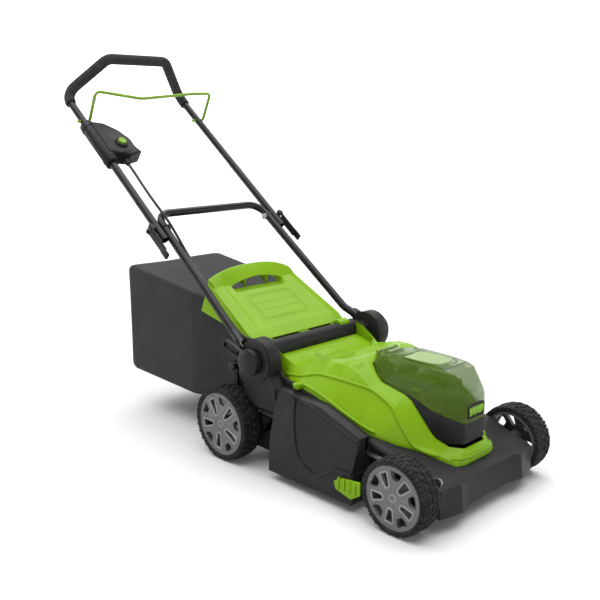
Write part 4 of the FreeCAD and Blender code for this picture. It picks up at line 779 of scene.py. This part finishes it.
def flap_handle():
    """Arched band over the scoop, with two ribs in the opening below it."""
    mesh = bmesh.new()
    rows = []
    count = 64
    for index in range(count + 1):
        u = -1 + 2 * index / count
        crown = 400 + 25 * (1 - abs(u) ** 2.6)
        gap = 12 * (1 - (u / 0.6) ** 2) ** 0.6 if abs(u) < 0.6 else 0.0
        foot = flap_height(383) - 4.0 + gap + 7.0 * (1 - abs(u))
        x = 137 * u
        section = [(414.5, crown - 7), (415.0, crown - 1.5), (412.5, crown), (408.0, crown - 0.4),
                   (395, (crown * 0.45 + foot * 0.55) + 3.5), (386.0, foot + 3.0), (383.5, foot),
                   (384.5, foot - 2.4), (387.5, foot - 1.6), (396, (crown * 0.45 + foot * 0.55) - 0.5),
                   (409.5, crown - 5.5)]
        rows.append([mesh.verts.new(at(x, y, z)) for y, z in section])
    for near, far in zip(rows, rows[1:]):
        for index in range(len(near)):
            after = (index + 1) % len(near)
            mesh.faces.new((near[index], near[after], far[after], far[index]))
    mesh.faces.new(rows[0])
    mesh.faces.new(list(reversed(rows[-1])))
    rounded_edges(added("flap_handle", mesh, "flap", "panel_green"), 0.8, 2, 30)
    for x in (-37, 37):
        rib = bmesh.new()
        low = flap_height(392) - 13
        corners = [(386, low - 4), (412, low + 9), (412, 414), (386, 398)]
        near = [rib.verts.new(at(x - 1.5, y, z)) for y, z in corners]
        far = [rib.verts.new(at(x + 1.5, y, z)) for y, z in corners]
        for index in range(4):
            after = (index + 1) % 4
            rib.faces.new((near[index], near[after], far[after], far[index]))
        rib.faces.new(near)
        rib.faces.new(far)
        added(f"flap_rib_{'right' if x < 0 else 'left'}", rib, "flap", "panel_green")


def flap_frame():
    """Embossed frame on the flap's panel, and its hinge knuckles."""
    def on_plate(u, v):
        y = FLAP_FRONT + v * (FLAP_REAR - FLAP_FRONT)
        return at(*flap_point(u, y))

    normal = Vector((0, -math.sin(math.radians(30)), math.cos(math.radians(30))))
    for name, width, depth, (u0, u1, v0, v1) in (
            ("outer", 1.8, 0.7, (-0.50, 0.50, 0.15, 0.60)), ("inner", 1.2, 0.5, (-0.46, 0.46, 0.18, 0.57))):
        line = [on_plate(u0, v0), on_plate(u1, v0), on_plate(u1, v1), on_plate(u0, v1)]
        smooth = spaced(line, 5, True, 2)
        bead(f"flap_frame_{name}", [(point, normal) for point in smooth], width, depth, "flap",
             "panel_green", True)
    for index in range(1, 3):
        v = 0.18 + 0.13 * index
        line = spaced([on_plate(-0.46, v), on_plate(0.46, v)], 6)
        bead(f"flap_row_{index}", [(point, normal) for point in line], 1.0, 0.45, "flap", "panel_green")
    centre = at(0, 210, 275)
    for index, (low, high) in enumerate(((-136, -106), (-15, 15), (98, 128))):
        lathed(f"flap_knuckle_{index}", [(low, 3.4), (low, 5.6), (low + 0.9, 6.5), (high - 0.9, 6.5),
                                         (high, 5.6),
                                         (high, 3.4), (low, 3.4)], centre, "flap", "panel_green", steps=40)
        web = bmesh.new()
        outline = [(211, 277), (224, 271), (224, 281), (212, 281.5)]
        near = [web.verts.new(at(low, y, z)) for y, z in outline]
        far = [web.verts.new(at(high, y, z)) for y, z in outline]
        for spot in range(4):
            after = (spot + 1) % 4
            web.faces.new((near[spot], near[after], far[after], far[spot]))
        web.faces.new(near)
        web.faces.new(far)
        added(f"flap_web_{index}", web, "flap", "panel_green")


flap_shell()
flap_handle()
flap_frame()


# ---------------------------------------------------------------- cables

CABLES = {
    "cable_upper": [on_handle(*place) for place in (
        (-150, 262, 0), (-150, 216, 0), (-157, 168, 5), (-165, 122, 12), (-168, 96, 14.5), (-168, 70, 15))],
    "cable_lower": [on_handle(*place) for place in (
        (-168, 69.7, 15), (-168, 40, 15.5), (-167, 2, 15), (-166, -40, 9), (-166, -90, 2), (-167, -150, -3),
        (-167.5, -210, -8), (-167.5, -258, -10), (-167.5, -300, -11))],
    "cable_deck": [at(*place) for place in (
        (-167.5, 303.6, 327), (-167.5, 266, 298), (-167.5, 236, 289), (-167, 198, 290), (-166, 163, 291),
        (-164, 139, 281), (-162.5, 132.5, 252), (-165, 123, 228), (-171, 100, 219), (-174, 64, 218))],
}


def cable(name, route):
    """Round cable on its route."""
    curve = bpy.data.curves.new(name + "_run", "CURVE")
    curve.dimensions = "3D"
    curve.resolution_u = 16
    curve.bevel_depth = 3.5 * MM
    curve.bevel_resolution = 6
    curve.use_fill_caps = True
    spline = curve.splines.new("NURBS")
    spline.points.add(len(route) - 1)
    for point, place in zip(spline.points, route):
        point.co = (*place, 1)
    spline.order_u = 3
    spline.use_endpoint_u = True
    obj = bpy.data.objects.new(name + "_run", curve)
    bpy.context.scene.collection.objects.link(obj)
    dress(obj, "cable_black")
    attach(obj, body_of[name])
    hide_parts(name)


for name, route in CABLES.items():
    cable(name, route)


# ------------------------------------------------------------- switch box

def prism_between(name, rings, body, slot, *replaced):
    """Solid through matching rings of points, closed at both ends."""
    mesh = bmesh.new()
    rows = [[mesh.verts.new(point) for point in ring] for ring in rings]
    for near, far in zip(rows, rows[1:]):
        for index in range(len(near)):
            after = (index + 1) % len(near)
            mesh.faces.new((near[index], near[after], far[after], far[index]))
    mesh.faces.new(rows[0])
    mesh.faces.new(list(reversed(rows[-1])))
    return added(name, mesh, body, slot, *replaced)


def octagon(centre, right, up, radius, turn=22.5):
    return [centre + (right * math.cos(math.radians(turn + 45 * index))
                      + up * math.sin(math.radians(turn + 45 * index))) * radius * MM for index in range(8)]


def switch_box():
    """Eight-sided lock button cap with a raised ring on its face."""
    low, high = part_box("lock_button")
    axis = -Vector(joint["button_press"]["axis"]).normalized()
    right = Vector((1, 0, 0))
    up = axis.cross(right).normalized()
    middle = (low + high) / 2
    reach = max((Vector(corner) - middle).dot(axis) for corner in
                [(x, y, z) for x in (low.x, high.x) for y in (low.y, high.y) for z in (low.z, high.z)])
    points = [frame["nodes"]["lock_button"].matrix_world @ vertex.co
              for vertex in frame["nodes"]["lock_button"].data.vertices]
    top = max((point - middle).dot(axis) for point in points)
    radius = max((point - middle).dot(right) for point in points) / MM
    reach = min(reach, top)
    rings = [octagon(middle + axis * (reach - 7 * MM), right, up, radius * 0.96),
             octagon(middle + axis * (reach - 3 * MM), right, up, radius),
             octagon(middle + axis * (reach - 0.8 * MM), right, up, radius * 0.96),
             octagon(middle + axis * reach, right, up, radius * 0.88)]
    rounded_edges(prism_between("lock_button_cap", rings, "button", "button_green", "lock_button"), 0.7, 2,
                  15)
    seat = octagon(middle + axis * (reach - 1.6 * MM), right, up, radius * 0.62)
    bead("lock_button_ring", [(point, axis) for point in spaced(seat, 1.5, True, 2)], 1.4, 1.2, "button",
         "button_green", True)


switch_box()


def housing_details():
    """Dark collar round the lock button, rings on the barrel and ribs on the wing."""
    low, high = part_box("lock_button")
    axis = -Vector(joint["button_press"]["axis"]).normalized()
    right = Vector((1, 0, 0))
    up = axis.cross(right).normalized()
    middle = (low + high) / 2
    points = [frame["nodes"]["switch_shell_upper"].matrix_world @ vertex.co
              for vertex in frame["nodes"]["switch_shell_upper"].data.vertices]
    near = [(point - middle).dot(axis) for point in points
            if 14 * MM < ((point - middle) - axis * (point - middle).dot(axis)).length < 18 * MM]
    seat = max(near)
    rows = [octagon(middle + axis * (seat - 7 * MM), right, up, 20.5),
            octagon(middle + axis * (seat - 1.5 * MM), right, up, 18.8),
            octagon(middle + axis * (seat + 0.8 * MM), right, up, 17.4),
            octagon(middle + axis * (seat + 0.4 * MM), right, up, 13.6),
            octagon(middle + axis * (seat - 2 * MM), right, up, 13.4)]
    mesh = bmesh.new()
    rings = [[mesh.verts.new(point) for point in row] for row in rows]
    for one, other in zip(rings, rings[1:] + rings[:1]):
        for index in range(8):
            after = (index + 1) % 8
            mesh.faces.new((one[index], one[after], other[after], other[index]))
    rounded_edges(added("lock_collar", mesh, "upper_handle_set", "deck_black"), 0.8, 2, 20)
    tree = tree_of("switch_shell_upper")
    down = -axis
    leg = on_handle(0, 1, 0) - on_handle(0, 0, 0)
    leg.normalize()
    for index, offset in enumerate((-30, -36, -42)):
        line = [middle + leg * (offset * MM) + right * (x * MM) for x in (-14, 0, 14)]
        laid = laid_on(tree, spaced(line, 2), down)
        if len(laid) > 4:
            bead(f"housing_rib_{index}", laid, 2.0, 1.0, "upper_handle_set", "deck_black")
    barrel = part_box("switch_shell_upper")[0].x / MM + 19.0
    for index, reach in enumerate((261, 384)):
        ring = []
        for step in range(40):
            turn = math.tau * step / 40
            rim = on_handle(barrel + 19 * math.cos(turn), reach, 19 * math.sin(turn))
            ring.append((rim, (rim - on_handle(barrel, reach, 0)).normalized()))
        bead(f"barrel_ring_{index}", ring, 3.4, 1.3, "upper_handle_set", "deck_black", True)


housing_details()
thick_bail = softened("bail", 0.2)
for vertex in thick_bail.data.vertices:
    vertex.co += vertex.normal * (1.3 * MM)


# ---------------------------------------------------------------- bridge

def bridge():
    """Rounded bar between the towers, and the dark gutters before and behind it."""
    for name, outline, half, slot in (
            ("bridge_cover", ((170.5, 252), (169, 262), (171.5, 275), (177, 283), (185, 286.6),
                              (194, 286.6), (200, 282),
                              (202, 274), (201, 262), (196, 252)), 151.5, "deck_black"),
            ("hinge_gutter", ((199, 258), (199, 263), (229, 264), (232, 284), (236, 284), (238, 258)), 151,
             "inner_black"),
            ("bonnet_gutter", ((164, 238), (164, 247), (174, 257), (178, 257), (178, 238)), 146,
             "inner_black")):
        rings = [[at(x, y, z) for y, z in outline] for x in (-half, half)]
        replaced = ("rear_bridge",) if name == "bridge_cover" else ()
        rounded_edges(prism_between(name, rings, "chassis", slot, *replaced), 1.0, 2, 40)


bridge()


# -------------------------------------------------------- lid and batteries

def slab(name, corners, thickness, normal, body, slot, bevel=0.5):
    """Thin plate over a polygon, sunk a little into what carries it."""
    sink = normal * (0.6 * MM)
    rings = [[corner - sink for corner in corners],
             [corner + normal * (thickness * MM) for corner in corners]]
    return rounded_edges(prism_between(name, rings, body, slot), bevel, 2, 30)


def lid_details():
    """Framed top panel, louvre in the nose (blades in a painted-highlight green over a black painted-shade
    sheet), seal at the hinge.
    """
    tree = tree_of("battery_lid")
    down = (0, 0, -1)
    outline = [at(x, y, 330) for x, y in ((-40, -112), (40, -112), (42, -160), (40, -196), (26, -222),
                                          (-26, -222),
                                          (-40, -196), (-42, -160))]
    line = laid_on(tree, spaced(outline, 4, True, 3), down)
    bead("lid_panel_edge", line, 2.6, 1.0, "lid", "lid_green", True)
    inner = [at(x, y, 330) for x, y in ((-32, -120), (32, -120), (34, -160), (32, -190), (20, -212),
                                        (-20, -212),
                                        (-32, -190), (-34, -160))]
    line = laid_on(tree, spaced(inner, 4, True, 3), down)
    corners = [point for point, _ in line]
    panel = slab("lid_panel", corners, 1.0, Vector((0, 0, 1)), "lid", "lid_green")
    repaint(panel, LID_PANEL)
    for side in (-1, 1):
        label = "right" if side < 0 else "left"
        ridge = [at(side * x, y, 330) for x, y in ((49, -86), (53, -112), (50, -188), (45, -228), (40, -252))]
        line = laid_on(tree, spaced(ridge, 5), down)
        bead(f"lid_ridge_{label}", line, 2.4, 0.9, "lid", "lid_green")
        rim = [at(side * 140, y, z) for y, z in
               ((-84, 257), (-110, 248), (-150, 242), (-190, 231), (-232, 211), (-250, 203), (-274, 193))]
        line = laid_on(tree, spaced(rim, 5), (-side, 0, 0))
        bead(f"lid_rim_{label}", line, 3.2, 1.2, "lid", "lid_green")
    ahead = Vector((0, -1, 0))
    # black sheet behind the louvres stands for the shade in the recess: painted shade
    opening_outline = [at(x, -286.2, z) for x, z in ((-27, 192), (27, 192), (27, 220), (-27, 220))]
    slab("lid_louvre_painted_shade", opening_outline, 0.5, ahead, "lid", "inner_black")
    # louvre blades in a lighter green than the lid: painted highlight
    for index in range(6):
        x = -21 + 8.4 * index
        rings = [[at(x - 2.6, -286.3, 196), at(x + 2.6, -286.3, 196), at(x + 2.6, -286.3, 216),
                  at(x - 2.6, -286.3, 216)],
                 [at(x - 1.8, -289.4, 198 + 3 * (index % 2)), at(x + 1.8, -289.4, 198 + 3 * (index % 2)),
                  at(x + 1.8, -289.4, 213), at(x - 1.8, -289.4, 213)]]
        blade = prism_between(f"lid_louvre_{index}", rings, "lid", "lid_green")
        repaint(blade, LOUVRE_PAINTED_HIGHLIGHT)
    bead("lid_louvre_frame", [(point, ahead) for point in spaced(opening_outline, 3, True, 2)], 2.8, 2.4, "lid",
         "inner_black", True)
    hump = [[at(*corner) for corner in corners] for corners in
            (((-26, -58, 281), (26, -58, 281), (26, -84, 286), (-26, -84, 286)),
             ((-22, -61, 290), (22, -61, 290), (20, -80, 293), (-20, -80, 293)))]
    rounded_edges(prism_between("lid_hump", hump, "lid", "lid_green"), 1.5, 3, 20)
    seal = [at(x, -61, z) for x, z in ((-54, 256), (-52, 267), (-43, 276), (-20, 279.5), (20, 279.5),
                                       (43, 276),
                                       (52, 267), (54, 256))]
    bead("lid_seal", [(point, Vector((0, -1, 0))) for point in spaced(seal, 4, passes=3)], 5.0, 2.2, "lid",
         "inner_black")


def pack_details():
    """Ribbed case, latch and shoe on each battery pack."""
    for side, label in ((-1, "right"), (1, "left")):
        name = f"battery_{label}"
        low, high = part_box(name)
        body = body_of[name]
        x0, x1 = low.x / MM, high.x / MM
        y0, y1 = (low.y - MIDDLE_Y) / MM, (high.y - MIDDLE_Y) / MM
        z1 = high.z / MM
        outer = x0 if side < 0 else x1
        out = Vector((side, 0, 0))
        for index in range(5):
            y = y0 + (y1 - y0) * (0.18 + 0.16 * index)
            corners = [at(outer, y - 4, z1 - 66), at(outer, y + 4, z1 - 66), at(outer, y + 4, z1 - 14),
                       at(outer, y - 4, z1 - 14)]
            slab(f"{name}_rib_{index}", corners, 1.4, out, body, slot_of[name])
        latch = [at(outer, y0 + 18, z1 - 11), at(outer, y0 + 42, z1 - 11), at(outer, y0 + 42, z1 - 3.5),
                 at(outer, y0 + 18, z1 - 3.5)]
        slab(f"{name}_latch", latch, 1.6, out, body, "button_green")
        middle = (x0 + x1) / 2
        top = Vector((0, 0, 1))
        for index in range(4):
            y = y0 + (y1 - y0) * (0.2 + 0.2 * index)
            corners = [at(middle - 20, y - 7, z1), at(middle + 20, y - 7, z1), at(middle + 20, y + 7, z1),
                       at(middle - 20, y + 7, z1)]
            slab(f"{name}_top_{index}", corners, 1.2, top, body, slot_of[name])


lid_details()
pack_details()


# ------------------------------------------------------- floor, light, camera

# metres
FLOOR_RADIUS, WALL_RADIUS, WALL_HEIGHT, WALL_CENTRE = 12, 11.5, 4.0, 1.9
FLOOR_SHADE = 0.54
WORLD_STRENGTH, SUN_STRENGTH, SUN_SPREAD = 0.40, 5.6, 85
SUN_FROM = Vector((0.06, 0.16, 1.0))
# fitted to the photograph: place in mm, then degrees
CAMERA_PLACE = (-1394.4, -1171.2, 800.0)
CAMERA_DOWN, CAMERA_TURN = 12.667, -44.92
LENS, SENSOR_WIDTH = 49.52, 36.0


def floor():
    """Pale ground with a bright round wall far behind it."""
    bpy.ops.mesh.primitive_circle_add(vertices=96, radius=FLOOR_RADIUS, fill_type="NGON", location=(0, 0, 0))
    ground = bpy.context.object
    ground.name = "floor"
    ground.data.materials.append(Shader("floor_white", (FLOOR_SHADE,) * 3, 0.95).material)
    bpy.ops.mesh.primitive_cylinder_add(vertices=96, radius=WALL_RADIUS, depth=WALL_HEIGHT,
                                        end_fill_type="NOTHING", location=(0, 0, WALL_CENTRE))
    wall = bpy.context.object
    wall.name = "backdrop"
    wall.data.materials.append(
        Shader("backdrop_white", (0.8, 0.8, 0.8), 1.0,
               Emission_Color=(1, 1, 1, 1), Emission_Strength=1.0).material)


def studio():
    world = bpy.data.worlds.new("studio")
    world.use_nodes = True
    background = world.node_tree.nodes["Background"]
    background.inputs["Color"].default_value = (1, 1, 1, 1)
    background.inputs["Strength"].default_value = WORLD_STRENGTH
    bpy.context.scene.world = world
    data = bpy.data.lights.new("soft_sun", "SUN")
    data.energy = SUN_STRENGTH
    data.angle = math.radians(SUN_SPREAD)
    sun = bpy.data.objects.new("soft_sun", data)
    bpy.context.scene.collection.objects.link(sun)
    sun.rotation_euler = (-SUN_FROM).to_track_quat("-Z", "Y").to_euler()
    bpy.context.scene.view_settings.view_transform = "Standard"


def camera():
    data = bpy.data.cameras.new("camera")
    data.lens = LENS
    data.sensor_width = SENSOR_WIDTH
    cam = bpy.data.objects.new("camera", data)
    bpy.context.scene.collection.objects.link(cam)
    cam.location = at(*CAMERA_PLACE)
    cam.rotation_euler = (math.radians(90 - CAMERA_DOWN), 0, math.radians(CAMERA_TURN))
    bpy.context.scene.camera = cam


floor()
studio()
camera()
